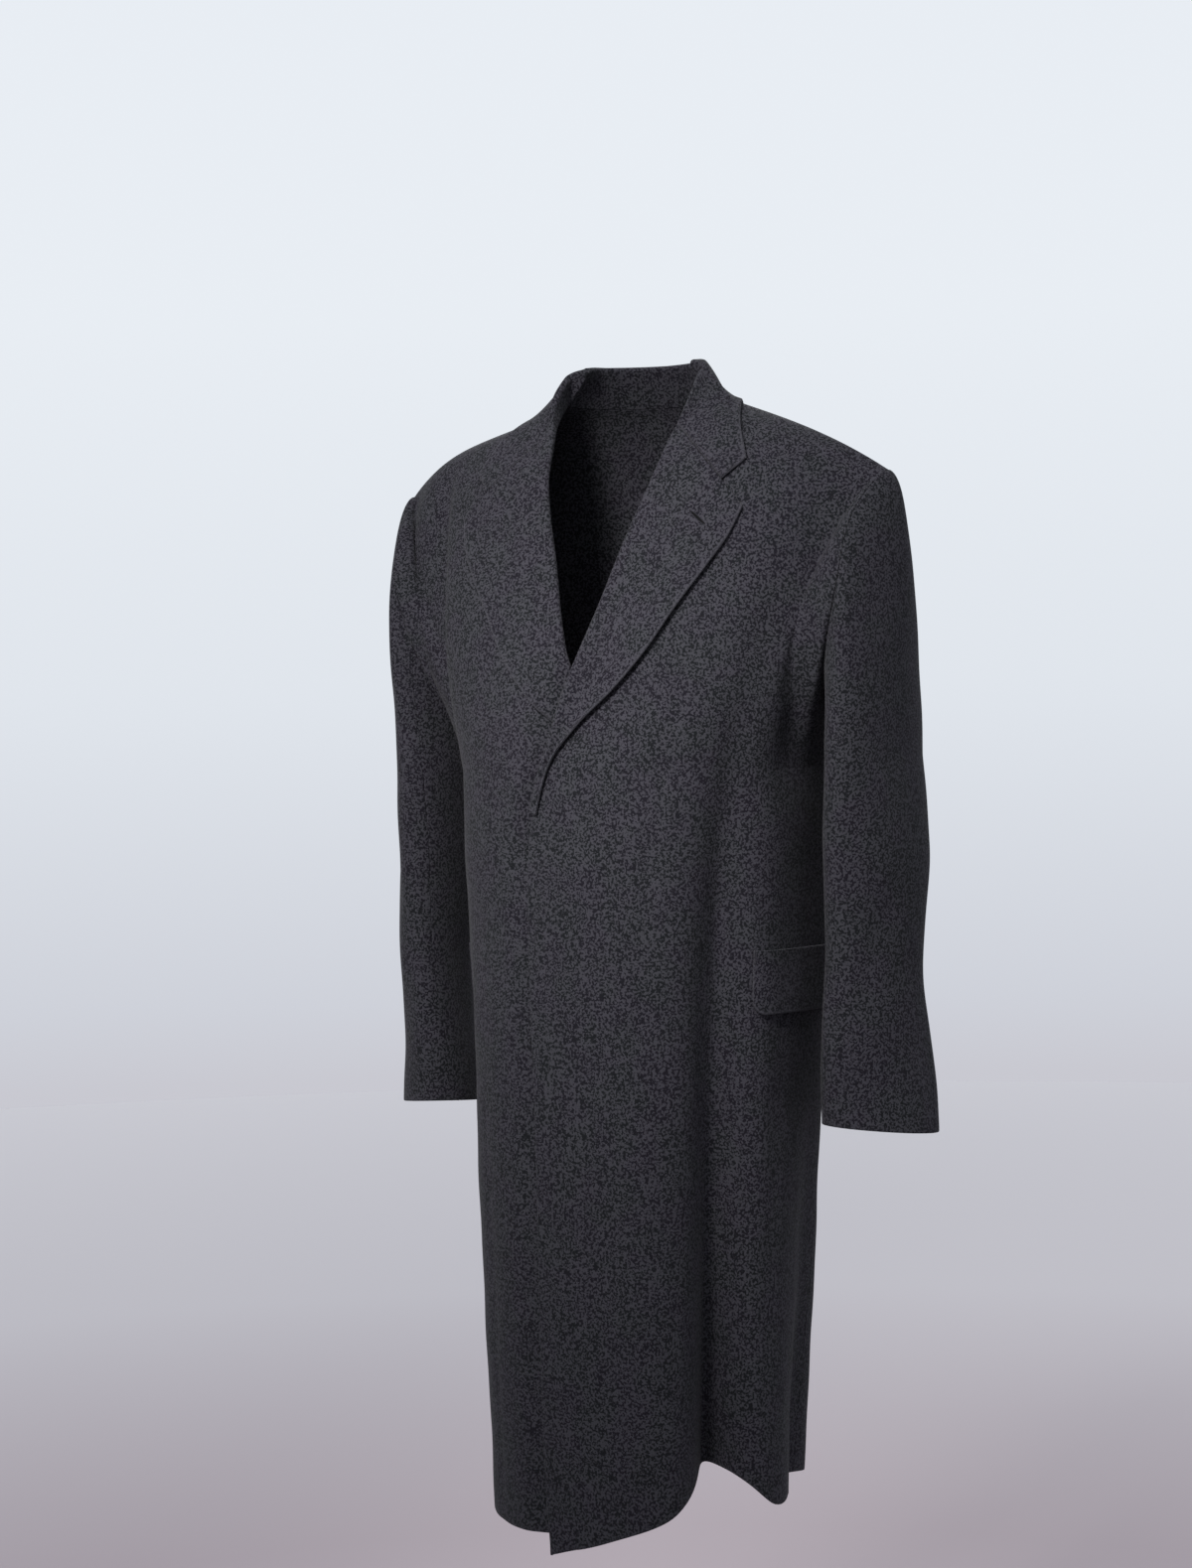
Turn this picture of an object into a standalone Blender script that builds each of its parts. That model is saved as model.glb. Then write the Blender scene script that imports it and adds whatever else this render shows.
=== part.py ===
"""Long single-breasted wool overcoat, worn: hollow, open at neck, hem and cuffs.

Frame: +X is the wearer's left, -Y the front, +Z up, metres. The origin is the middle of the neck
at the height of the two neck points, where the shoulder seams meet the collar.
One half of the body is worked out on a grid: columns run round from the front edge to the centre
back, rows run from the hem to the shoulder, armhole and neck. The fronts and backs are cut from it,
and the lapels, collar and pocket flaps are laid on it.
"""

import math
from collections import namedtuple

import bmesh
import bpy
import numpy as np
from mathutils import Vector
from mathutils.bvhtree import BVHTree

# ---------------------------------------------------------------- cloth
WALL = 0.003  # coating cloth with its canvas
SEAM_GAP = 0.0004  # clear space between two pieces that are sewn together
LAY_GAP = 0.0016  # clear space under a piece that lies on another
FINE = 4  # laid pieces rest on the body worked out this much finer
SOFTENING = 2  # times that the way the wall faces is evened out

# ---------------------------------------------------------------- driving sizes
NECK_POINT = (0.088, 0.005, 0.0)  # where the shoulder seam meets the neckline
SHOULDER_POINT = (0.2775, 0.005, -0.0845)  # where it meets the armhole
Rise = namedtuple("Rise", "height share")  # padding lifts the seam most at this share of it
SHOULDER_RISE = {"left": Rise(0.007, 0.60), "right": Rise(0.015, 0.72)}
BACK_NECK = (0.0, 0.078, -0.002)  # neckline at the centre back
CHEST_Z = -0.370  # highest row that is a plain level section
SECTION_POWER = 0.90  # under 1 fills the corners of the oval sections
HEM_DEPTH = -1.144  # lowest point of the coat, the left front corner

Section = namedtuple("Section", "name z half_width front back")
SECTIONS = (
    Section("hem", -1.144, 0.164, 0.150, 0.122),
    Section("knee", -0.960, 0.168, 0.158, 0.126),
    Section("hip", -0.780, 0.173, 0.164, 0.130),
    Section("waist", -0.560, 0.178, 0.163, 0.130),
    Section("break", -0.430, 0.184, 0.159, 0.130),
    Section("chest", -0.370, 0.188, 0.154, 0.132),
    Section("armpit", -0.300, 0.196, 0.146, 0.133),
)

EdgePoint = namedtuple("EdgePoint", "name z x")
FRONT_EDGE = (  # how far past the centre, or short of it, the front edge stands
    EdgePoint("hem", -1.144, -0.0340),
    EdgePoint("above the hem", -1.050, -0.0370),
    EdgePoint("knee", -0.900, -0.0355),
    EdgePoint("hip", -0.750, -0.0330),
    EdgePoint("waist", -0.600, -0.0365),
    EdgePoint("below the break", -0.470, -0.0385),
    EdgePoint("break", -0.420, -0.0350),
    EdgePoint("above the break", -0.390, -0.0260),
    EdgePoint("low roll", -0.345, -0.0115),
    EdgePoint("under the crossing", -0.298, 0.0000),
    EdgePoint("crossing", -0.262, 0.0120),
    EdgePoint("over the crossing", -0.216, 0.0275),
    EdgePoint("mid roll", -0.157, 0.0440),
    EdgePoint("notch level", -0.120, 0.0560),
    EdgePoint("high roll", -0.084, 0.0660),
    EdgePoint("gorge", -0.036, 0.0745),
    EdgePoint("side of neck", -0.020, 0.0795),
    EdgePoint("neck point", 0.000, 0.0880),
)
EdgeDepth = namedtuple("EdgeDepth", "name z y")
EDGE_DEPTH = (  # how far forward it stands above the chest
    EdgeDepth("crossing", -0.258, -0.125),
    EdgeDepth("mid roll", -0.177, -0.100),
    EdgeDepth("notch level", -0.120, -0.083),
    EdgeDepth("gorge", -0.060, -0.057),
    EdgeDepth("side of neck", -0.020, -0.026),
    EdgeDepth("neck point", 0.000, 0.005),
)

Hem = namedtuple("Hem", "w left right")  # height of the hem round the body, 0 front to 1 back
HEM = (
    Hem(-0.03, -1.144, -1.115),
    Hem(0.10, -1.116, -1.118),
    Hem(0.20, -1.092, -1.118),
    Hem(0.31, -1.052, -1.112),
    Hem(0.43, -1.090, -1.085),
    Hem(0.60, -1.080, -1.088),
    Hem(0.80, -1.092, -1.094),
    Hem(1.00, -1.100, -1.100),
)

Armhole = namedtuple("Armhole", "name turn x y z")  # turn: 0 top, 90 front, 180 under, 270 back
ARMHOLE = (
    Armhole("shoulder point", 0, 0.2775, 0.005, -0.0845),
    Armhole("high front", 45, 0.2630, -0.045, -0.128),
    Armhole("front", 90, 0.2550, -0.063, -0.190),
    Armhole("low front", 135, 0.2300, -0.044, -0.270),
    Armhole("underarm", 180, 0.2120, 0.010, -0.305),
    Armhole("low back", 225, 0.2320, 0.062, -0.266),
    Armhole("back", 270, 0.2510, 0.074, -0.185),
    Armhole("high back", 315, 0.2640, 0.048, -0.124),
)
FORE_SEAM_TURN = 118  # where the sleeve's front seam meets the armhole
SIDE_SEAM_TURN = 235  # where the side seam meets it
HIND_SEAM_TURN = 315  # where the sleeve's back seam meets it

Span = namedtuple("Span", "start end columns")
ARMHOLE_SPANS = (
    Span(0, FORE_SEAM_TURN, 7),
    Span(FORE_SEAM_TURN, SIDE_SEAM_TURN, 7),
    Span(SIDE_SEAM_TURN, HIND_SEAM_TURN, 5),
    Span(HIND_SEAM_TURN, 360, 3),
)

Station = namedtuple("Station", "name w")  # how far round the body a column starts
STATIONS = (
    Station("front edge", 0.00),
    Station("shoulder point", 0.34),
    Station("underarm", 0.53),
    Station("side seam", 0.64),
    Station("shoulder point behind", 0.74),
    Station("neck point behind", 0.83),
    Station("centre back", 1.00),
)
FRONT_COLUMNS = 11  # front edge to shoulder point
BACK_SHOULDER_COLUMNS = 5
BACK_NECK_COLUMNS = 5
LOW_ROWS = 11  # hem to chest
ROW_CROWDING = 1.25  # over 1 brings these rows closer together towards the chest
HIGH_ROWS = 9  # chest to shoulder

Pull = namedtuple("Pull", "place x y z")  # place counts stations; how a column runs into its top
TOP_PULLS = (
    Pull(0.0, 0.050, 0.200, 0.130),
    Pull(0.2, 0.010, 0.190, 0.030),
    Pull(0.6, 0.000, 0.170, 0.000),
    Pull(1.0, 0.080, 0.115, 0.045),
    Pull(1.5, 0.060, 0.020, 0.140),
    Pull(2.0, 0.020, 0.000, 0.060),
    Pull(3.0, 0.050, 0.010, 0.130),
    Pull(4.0, 0.090, -0.100, 0.060),
    Pull(4.4, -0.010, -0.200, 0.013),
    Pull(5.0, -0.111, -0.255, 0.050),
    Pull(5.5, -0.011, -0.145, 0.086),
    Pull(6.0, 0.000, -0.105, 0.125),
)
BACK_START = 4  # from this place on, the points a third of a pull short of the top lie smoothly
BACK_ROUND_FROM = (4.2, 4.8)  # places between which the rounding sets in
BACK_ROUND_TO = (5.4, 5.9)  # and between which it ends
BACK_ROUND_START = 0.3  # share of the way up at which it is full
BACK_ROUND_END = 4  # power with which it fades towards the top
BACK_ROUNDING = 6  # times

# Soft troughs (depth above 0) and ridges (below 0), each along a line from its top to its low end.
Fold = namedtuple("Fold", "name side top_w top_z low_w low_z width top_depth low_depth")
FOLDS = (
    Fold("skirt, deep", "left", 0.305, -0.36, 0.285, -1.20, 0.059, 0.006, 0.078),
    Fold("skirt, front ridge", "left", 0.10, -0.60, 0.185, -1.20, 0.050, -0.002, -0.006),
    Fold("side, fuller", "left", 0.63, -0.36, 0.630, -1.20, 0.130, -0.014, -0.006),
    Fold("side, behind", "left", 0.56, -0.60, 0.600, -1.20, 0.100, 0.004, 0.045),
    Fold("back, outer", "left", 0.80, -0.50, 0.800, -1.20, 0.050, 0.002, 0.014),
    Fold("skirt, deep", "right", 0.36, -0.55, 0.430, -1.20, 0.060, 0.004, 0.050),
    Fold("side, behind", "right", 0.60, -0.60, 0.600, -1.20, 0.050, 0.004, 0.026),
    Fold("back, outer", "right", 0.80, -0.50, 0.800, -1.20, 0.050, 0.002, 0.016),
    Fold("armhole drape", "left", 0.290, -0.08, 0.440, -0.31, 0.042, 0.002, 0.009),
    Fold("chest valley", "left", 0.295, -0.14, 0.300, -0.50, 0.040, 0.002, 0.005),
    Fold("shoulder ridge", "right", 0.26, -0.02, 0.420, -0.30, 0.030, -0.010, -0.004),
    Fold("armhole drape", "right", 0.215, -0.04, 0.370, -0.36, 0.028, 0.008, 0.008),
)
FOLD_FADE = 0.10  # a fold grows out of the plain cloth over this height
NEAR = 0.01  # a small step round the body
FOLD_END = 0.35  # share of the upper body over which the folds die out below its seams

UNDERLAP = 0.0070  # the right front dips this far to pass under the left one
UNDERLAP_LAPEL = 0.0052  # and this much further where its lapel lies between
UNDERLAP_RUN = 0.034  # the dip is spread over this width beside the edge
UNDERLAP_START = (-0.52, -0.44)  # the dip for the lapel begins here
UNDERLAP_TOP = (-0.25, -0.20)  # the fronts part here, and the dip ends

# ---------------------------------------------------------------- sleeve
Ring = namedtuple("Ring", "name z left right y fore side turn")
SLEEVE_RINGS = (  # left and right are how far out each arm's middle is; fore, side half sizes
    Ring("bicep", -0.360, 0.2520, 0.2490, 0.016, 0.0810, 0.034, 0),
    Ring("elbow", -0.450, 0.2530, 0.2585, 0.016, 0.0740, 0.037, 8),
    Ring("forearm", -0.570, 0.2495, 0.2645, 0.012, 0.0620, 0.034, 14),
    Ring("wrist", -0.660, 0.2515, 0.2640, 0.014, 0.0635, 0.037, 25),
    Ring("cuff", -0.722, 0.2520, 0.2640, 0.016, 0.0615, 0.042, 33),
)
CUFF_SLANT = 0.007  # the cuff is this much higher in front
HEAD_PULLS = (  # turn, then how the sleeve leaves the armhole there
    Pull(0, 0.074, 0.000, -0.034),
    Pull(45, 0.048, -0.020, -0.090),
    Pull(90, 0.020, -0.020, -0.170),
    Pull(135, 0.010, -0.010, -0.100),
    Pull(180, 0.004, 0.000, -0.050),
    Pull(225, 0.010, 0.020, -0.100),
    Pull(270, 0.010, 0.015, -0.170),
    Pull(315, 0.045, 0.015, -0.090),
)
HEAD_ROWS = 7
ARM_ROWS = 9

# ---------------------------------------------------------------- lapel, collar and pocket
GORGE_Z = -0.036  # the collar seam crosses the roll here
Spot = namedtuple("Spot", "x z")  # a place on the chest, seen from the front
NOTCH = Spot(0.135, -0.091)
LAPEL_EDGE = (  # from the break up to the corner
    Spot(-0.0262, -0.412),
    Spot(-0.0195, -0.385),
    Spot(-0.0095, -0.358),
    Spot(0.0165, -0.326),
    Spot(0.0507, -0.294),
    Spot(0.0830, -0.256),
    Spot(0.1105, -0.211),
    Spot(0.1345, -0.174),
    Spot(0.1515, -0.145),
    Spot(0.1605, -0.1185),
)
LAPEL_START_Z = -0.408

Roll = namedtuple("Roll", "t left right")  # half the space left inside the roll, break to gorge
LAPEL_ROLL = (
    Roll(0.00, 0.0006, 0.0003),
    Roll(0.25, 0.0035, 0.0003),
    Roll(0.55, 0.0025, 0.0006),
    Roll(0.80, 0.0012, 0.0012),
    Roll(1.00, 0.0006, 0.0006),
)
SETTLE = 0.6  # a lapel has come down to its lying height at this share of its width
Lift = namedtuple("Lift", "t left right")  # how far the outer edge stands off, break to gorge
LAPEL_LIFT = (  # the right one lies flat where the left one covers it
    Lift(0.00, 0.0000, 0.0000),
    Lift(0.30, 0.0028, 0.0000),
    Lift(0.50, 0.0035, 0.0004),
    Lift(0.75, 0.0026, 0.0020),
    Lift(1.00, 0.0000, 0.0000),
)

CollarRow = namedtuple("CollarRow", "name t edge_x edge_y edge_z stand x y z")
COLLAR = (  # edge: outer edge; stand: height of the stand; x, y, z: which way the stand leans
    CollarRow("front end", 0.00, 0.1555, -0.0545, -0.0705, 0.000, -0.10, -0.80, 0.60),
    CollarRow("front", 0.18, 0.1380, -0.0330, -0.0380, 0.012, -0.45, -0.40, 0.80),
    CollarRow("neck point", 0.40, 0.1150, 0.0100, -0.0100, 0.037, -0.62, -0.05, 0.78),
    CollarRow("behind the neck", 0.70, 0.0800, 0.0780, -0.0150, 0.039, -0.32, -0.32, 0.88),
    CollarRow("centre back", 1.00, 0.0000, 0.1040, -0.0200, 0.039, 0.00, -0.42, 0.90),
)
COLLAR_ROLL = 0.0006
SHORT_STAND = 0.0004  # what is left of the stand at the collar's front end
NOTCH_FADE = 0.20  # share of the lapel and of the collar that is drawn towards the notch
FRAME_EVENING = 4  # times that the directions along the collar's seam are evened out
STAND_TURN = math.radians(168)  # how far a full stand's roll turns before the fall leaves it
START_STEPS = 2
STAND_STEPS = 2
TURN_STEPS = 3
FALL_STEPS = 6  # the notch lies one step before the last

FLAP_W = (0.366, 0.615)
FLAP_Z = (-0.545, -0.607)
FLAP_GAP = 0.0008
FLAP_LIFT = 0.0025  # its free lower edge stands off this much more
FLAP_CORNER = 0.014
FLAP_COLUMNS = 10
FLAP_ROWS = 4

Cloth = namedtuple("Cloth", "name colour roughness")
COATING = Cloth("charcoal coating", (0.025, 0.025, 0.029, 1.0), 0.95)
TURNED = Cloth("charcoal coating, turned", (0.028, 0.028, 0.032, 1.0), 0.95)


# ---------------------------------------------------------------- curves
def column(table, *names):
    """The named columns of a table as an array, one row for each row of the table."""
    return np.array([[getattr(row, name) for name in names] for row in table], float)


def smooth(places, values, at):
    """Cubic curve through the values; the slope at each comes from its neighbours."""
    places = np.asarray(places, float)
    values = np.asarray(values, float)
    at = np.clip(np.asarray(at, float), places[0], places[-1])
    slopes = np.gradient(values, places, axis=0)
    i = np.clip(np.searchsorted(places, at, side="right") - 1, 0, len(places) - 2)
    span = (places[i + 1] - places[i])[..., None]
    s = ((at - places[i]) / (places[i + 1] - places[i]))[..., None]
    return hermite(values[i], slopes[i] * span, values[i + 1], slopes[i + 1] * span, s)


def hermite(start, start_pull, end, end_pull, s):
    """Cubic from start to end that leaves along start_pull and arrives along end_pull."""
    return (
        (1 + 2 * s) * (1 - s) ** 2 * start
        + s * (1 - s) ** 2 * start_pull
        + s * s * (3 - 2 * s) * end
        + s * s * (s - 1) * end_pull
    )


def ease(value, low, high):
    """0 below low, 1 above high, a soft step between."""
    s = np.clip((value - low) / (high - low), 0, 1)
    return s * s * (3 - 2 * s)


def unit(vectors):
    return vectors / np.linalg.norm(vectors, axis=-1, keepdims=True)


def dot(a, b):
    return np.sum(a * b, axis=-1, keepdims=True)


def normals(grid):
    """Unit normals of a grid whose columns run to the wearer's left and rows run up."""
    across = np.gradient(grid, axis=1)
    along = np.gradient(grid, axis=0)
    return unit(np.cross(across, along))


def lengths_along(points):
    """Share of the whole length at each point of a line."""
    steps = np.linalg.norm(np.diff(points, axis=0), axis=1)
    lengths = np.concatenate([[0], np.cumsum(steps)])
    return lengths / lengths[-1]


def between(points, count):
    """Each straight step of a line cut into count, so that its corners stay."""
    at = np.linspace(0, len(points) - 1, (len(points) - 1) * count + 1)
    whole = np.minimum(at.astype(int), len(points) - 2)
    part = (at - whole)[:, None]
    return points[whole] * (1 - part) + points[whole + 1] * part


# ---------------------------------------------------------------- body
def section_point(w, z):
    """Point of the level oval section at height z; w is 0 at centre front and 1 at centre back."""
    sizes = smooth(
        column(SECTIONS, "z")[:, 0], column(SECTIONS, "half_width", "front", "back"), z
    )
    across = np.sin(math.pi * w)
    ahead = np.cos(math.pi * w)
    depth = np.where(w < 0.5, sizes[..., 1], sizes[..., 2])
    x = sizes[..., 0] * np.sign(across) * np.abs(across) ** SECTION_POWER
    y = -depth * np.sign(ahead) * np.abs(ahead) ** SECTION_POWER
    return np.stack([x, y, z + 0 * w], axis=-1)


def edge_x(z):
    """How far the front edge stands past or short of the centre at height z."""
    return smooth(column(FRONT_EDGE, "z")[:, 0], column(FRONT_EDGE, "x"), z)[..., 0]


def edge_w(z):
    """How far round the section the front edge stands."""
    half_width = smooth(
        column(SECTIONS, "z")[:, 0], column(SECTIONS, "half_width"), z
    )[..., 0]
    share = edge_x(z) / half_width
    return np.arcsin(np.sign(share) * np.abs(share) ** (1 / SECTION_POWER)) / math.pi


def armhole_point(turn):
    """Point of the armhole seam; turn in degrees runs top, front, under, back."""
    rows = ARMHOLE[-2:] + ARMHOLE + ARMHOLE[:3]
    turns = [row.turn for row in rows]
    turns = np.array(turns[:2]) - 360, np.array(turns[2:-3]), np.array(turns[-3:]) + 360
    return smooth(np.concatenate(turns), column(rows, "x", "y", "z"), turn)


def armhole_turns(fine=1):
    """The turns at which columns of the body and of the sleeve meet, from 0 to 360."""
    turns = [0.0]
    for span in ARMHOLE_SPANS:
        turns += list(np.linspace(span.start, span.end, span.columns * fine + 1)[1:])
    return np.array(turns)


def shoulder_seam(share, side):
    """Point of the shoulder seam, from the neck point at 0 to the shoulder point at 1."""
    share = np.asarray(share)[..., None]
    line = np.array(NECK_POINT) * (1 - share) + np.array(SHOULDER_POINT) * share
    rise = SHOULDER_RISE[side]
    place = share ** (math.log(0.5) / math.log(rise.share))
    return line + rise.height * 4 * place * (1 - place) * np.array([0, 0, 1])


def back_neckline(share):
    """Point of the neckline behind, from the neck point at 0 to the centre back at 1."""
    angle = np.asarray(share) * math.pi / 2
    x = NECK_POINT[0] * np.cos(angle)
    y = NECK_POINT[1] + (BACK_NECK[1] - NECK_POINT[1]) * np.sin(angle)
    z = BACK_NECK[2] * np.sin(angle)
    return np.stack([x, y, z], axis=-1)


def top_point(place, side):
    """Where a column ends: place counts the stations passed, with the fraction to the next."""
    turn = np.interp(place, [1, 2, 3, 4], [0, 180, SIDE_SEAM_TURN, 360])
    parts = (
        (place <= 1, shoulder_seam(np.clip(place, 0, 1), side)),
        ((place > 1) & (place < 4), armhole_point(turn)),
        ((place >= 4) & (place < 5), shoulder_seam(np.clip(5 - place, 0, 1), side)),
        (place >= 5, back_neckline(np.clip(place - 5, 0, 1))),
    )
    return sum(np.where(where[..., None], points, 0) for where, points in parts)


def column_places(fine=1):
    """Stations passed at each column of the half body."""
    armhole = np.interp(armhole_turns(fine), [0, 180, SIDE_SEAM_TURN, 360], [1, 2, 3, 4])
    return np.concatenate(
        [
            np.linspace(0, 1, FRONT_COLUMNS * fine + 1)[:-1],
            armhole[:-1],
            np.linspace(4, 5, BACK_SHOULDER_COLUMNS * fine + 1)[:-1],
            np.linspace(5, 6, BACK_NECK_COLUMNS * fine + 1),
        ]
    )


def rounded_back(upper, places, high, fine):
    """The upper body with its level lines rounded below the neck point, where the top seam turns."""
    near = ease(places, *BACK_ROUND_FROM) * (1 - ease(places, *BACK_ROUND_TO))
    fade = ease(high, 0, BACK_ROUND_START) * (1 - high**BACK_ROUND_END)
    weight = near[None, 1:-1, None] * fade[:, None, None]
    for _ in range(BACK_ROUNDING * fine**2):
        middle = (upper[:, :-2] + upper[:, 2:]) / 2
        upper[:, 1:-1] += weight / 2 * (middle - upper[:, 1:-1])
    return upper


def half_body(side, fine=1):
    """The plain half body as a grid (rows, columns, 3), on the wearer's left, and its columns' w."""
    places = column_places(fine)
    low = 1 - np.linspace(1, 0, LOW_ROWS * fine + 1) ** ROW_CROWDING
    high = np.linspace(0, 1, HIGH_ROWS * fine + 1)[1:]

    chest_w = np.interp(places, range(len(STATIONS)), column(STATIONS, "w")[:, 0])
    lead = np.clip(1 - places, 0, 1)  # how much a column still follows the front edge
    hem_table = column(HEM, "w", side)
    hem_z = smooth(hem_table[:, 0], hem_table[:, 1:], chest_w)[..., 0]
    z = hem_z + (CHEST_Z - hem_z) * low[:, None]
    w = chest_w + lead * edge_w(z)
    lower = section_point(w, z)

    start = lower[-1]
    end = top_point(places, side)
    pull_places = column(TOP_PULLS, "place")[:, 0]
    pulls = column(TOP_PULLS, "x", "y", "z")
    short_of = smooth(pull_places, top_point(pull_places, side) - pulls / 3, places)
    end_pull = np.where(
        places[:, None] < BACK_START, smooth(pull_places, pulls, places), 3 * (end - short_of)
    )
    rise = end[:, 2] - CHEST_Z
    start_pull = np.stack([0.7 * (end - start)[:, 0], 0 * rise, 1.1 * rise], axis=-1)
    upper = hermite(start, start_pull, end, end_pull, high[:, None, None])
    upper = rounded_back(upper, places, high, fine)

    edge = np.vstack([[CHEST_Z, start[0, 1]], column(EDGE_DEPTH, "z", "y")])
    edge_y = smooth(edge[:, 0], edge[:, 1:], upper[:, 0, 2])[:, 0]
    shift = np.stack([edge_x(upper[:, 0, 2]), edge_y], axis=-1) - upper[:, 0, :2]
    upper[..., :2] += (lead**2)[None, :, None] * shift[:, None, :]

    grid = np.concatenate([lower, upper])
    w = np.concatenate([w, np.repeat(w[-1:], len(high), axis=0)])
    return grid, w, places


def fold_depth(side, w, z):
    """How deep the folds of one side press the cloth in at (w, z)."""
    depth = 0 * w
    for fold in FOLDS:
        if fold.side != side:
            continue
        along = np.clip((z - fold.top_z) / (fold.low_z - fold.top_z), 0, 1)
        middle = fold.top_w + (fold.low_w - fold.top_w) * along
        size = fold.top_depth + (fold.low_depth - fold.top_depth) * along
        size = size * ease(-z, -fold.top_z - FOLD_FADE, -fold.top_z + FOLD_FADE)
        if fold.low_z > HEM_DEPTH:
            size = size * ease(z, fold.low_z - FOLD_FADE, fold.low_z)
        depth = depth + size * np.exp(-(((w - middle) / fold.width) ** 2))
    return depth


def underlap(x, z):
    """How far the right front is pressed in beside and under the left front; x is its own side."""
    left_edge = -edge_x(z)
    under = 1 - ease(x, left_edge, left_edge + UNDERLAP_RUN)
    fade = 1 - ease(z, *UNDERLAP_TOP)
    with_lapel = ease(z, *UNDERLAP_START)
    return under * fade * (UNDERLAP + UNDERLAP_LAPEL * with_lapel)


def body_grid(side, fine=1):
    """One half of the body with its folds, still on the wearer's left, and its column places."""
    grid, w, places = half_body(side, fine)
    left = np.ones(len(grid))  # share of the way still to go to the top seams
    left[LOW_ROWS * fine :] = np.linspace(1, 0, len(grid) - LOW_ROWS * fine)
    depth = fold_depth(side, w, grid[..., 2]) * ease(left, 0, FOLD_END)[:, None]
    if side == "right":
        in_front = places < 1.5
        depth = depth + in_front * underlap(grid[..., 0], grid[..., 2])
    around = section_point(w + NEAR, CHEST_Z + 0 * w) - section_point(w - NEAR, CHEST_Z + 0 * w)
    out = unit(np.cross(around, (0, 0, 1)))
    return grid - out * depth[..., None], places


# ---------------------------------------------------------------- sleeve
def sleeve_ring(side, turn, z):
    """Point of the oval round the arm at height z; turn in degrees as at the armhole."""
    table = column(SLEEVE_RINGS[::-1], "z", side, "y", "fore", "side", "turn")
    sizes = smooth(table[:, 0], table[:, 1:], z)
    centre_x, centre_y, fore, across, twist = np.moveaxis(sizes, -1, 0)
    angle = np.radians(turn)
    out = across * np.cos(angle)
    ahead = -fore * np.sin(angle)
    twist = np.radians(twist)
    x = centre_x + out * np.cos(twist) + ahead * np.sin(twist)
    y = centre_y - out * np.sin(twist) + ahead * np.cos(twist)
    return np.stack([x, y, z + 0 * angle], axis=-1)


def sleeve_grid(side, fine=1):
    """A whole sleeve, on the wearer's left, and the turns of its columns.

    Rows run from the cuff up to the armhole, columns from the back seam round under the arm.
    """
    turns = armhole_turns(fine)
    first = int(np.argmin(np.abs(turns - HIND_SEAM_TURN)))
    turns = np.concatenate([turns[: first + 1][::-1], turns[first:-1][::-1] - 360])

    cuff_z = SLEEVE_RINGS[-1].z + CUFF_SLANT * np.sin(np.radians(turns))
    bicep_z = SLEEVE_RINGS[0].z
    arm = np.linspace(0, 1, ARM_ROWS * fine + 1)[:, None]
    z = cuff_z + (bicep_z - cuff_z) * arm
    lower = sleeve_ring(side, turns + 0 * z, z)

    start = lower[-1]
    end = armhole_point(turns % 360)
    head_turns = column(HEAD_PULLS, "place")[:, 0]
    rows = HEAD_PULLS + HEAD_PULLS[:2]
    head_turns = np.concatenate([head_turns, head_turns[:2] + 360])
    end_pull = smooth(head_turns, column(rows, "x", "y", "z"), turns % 360)
    start_pull = np.array([0, 0, 1.1]) * (end - start)[:, 2:]
    head = np.linspace(0, 1, HEAD_ROWS * fine + 1)[1:, None, None]
    upper = hermite(start, start_pull, end, -end_pull, head)
    return np.concatenate([lower, upper]), turns


# ---------------------------------------------------------------- where pieces meet
def facing(own, other):
    """Which way the cloth faces at a seam: shared where two pieces meet flat or over a ridge."""
    return unit(own + ease(dot(own, other), -0.3, 0.3) * other)


def softened(faces):
    """Facings evened out between neighbours, so that the wall doesn't fold over in a crease."""
    faces = faces.copy()
    for _ in range(SOFTENING):
        faces[1:-1] = faces[:-2] + 2 * faces[1:-1] + faces[2:]
        faces[:, 1:-1] = faces[:, :-2] + 2 * faces[:, 1:-1] + faces[:, 2:]
        faces = unit(faces)
    return faces


def at_turns(at, turns, values):
    """Values round the armhole at other turns."""
    return np.stack(
        [np.interp(at, turns, values[:, k], period=360) for k in range(values.shape[1])], axis=-1
    )


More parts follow.
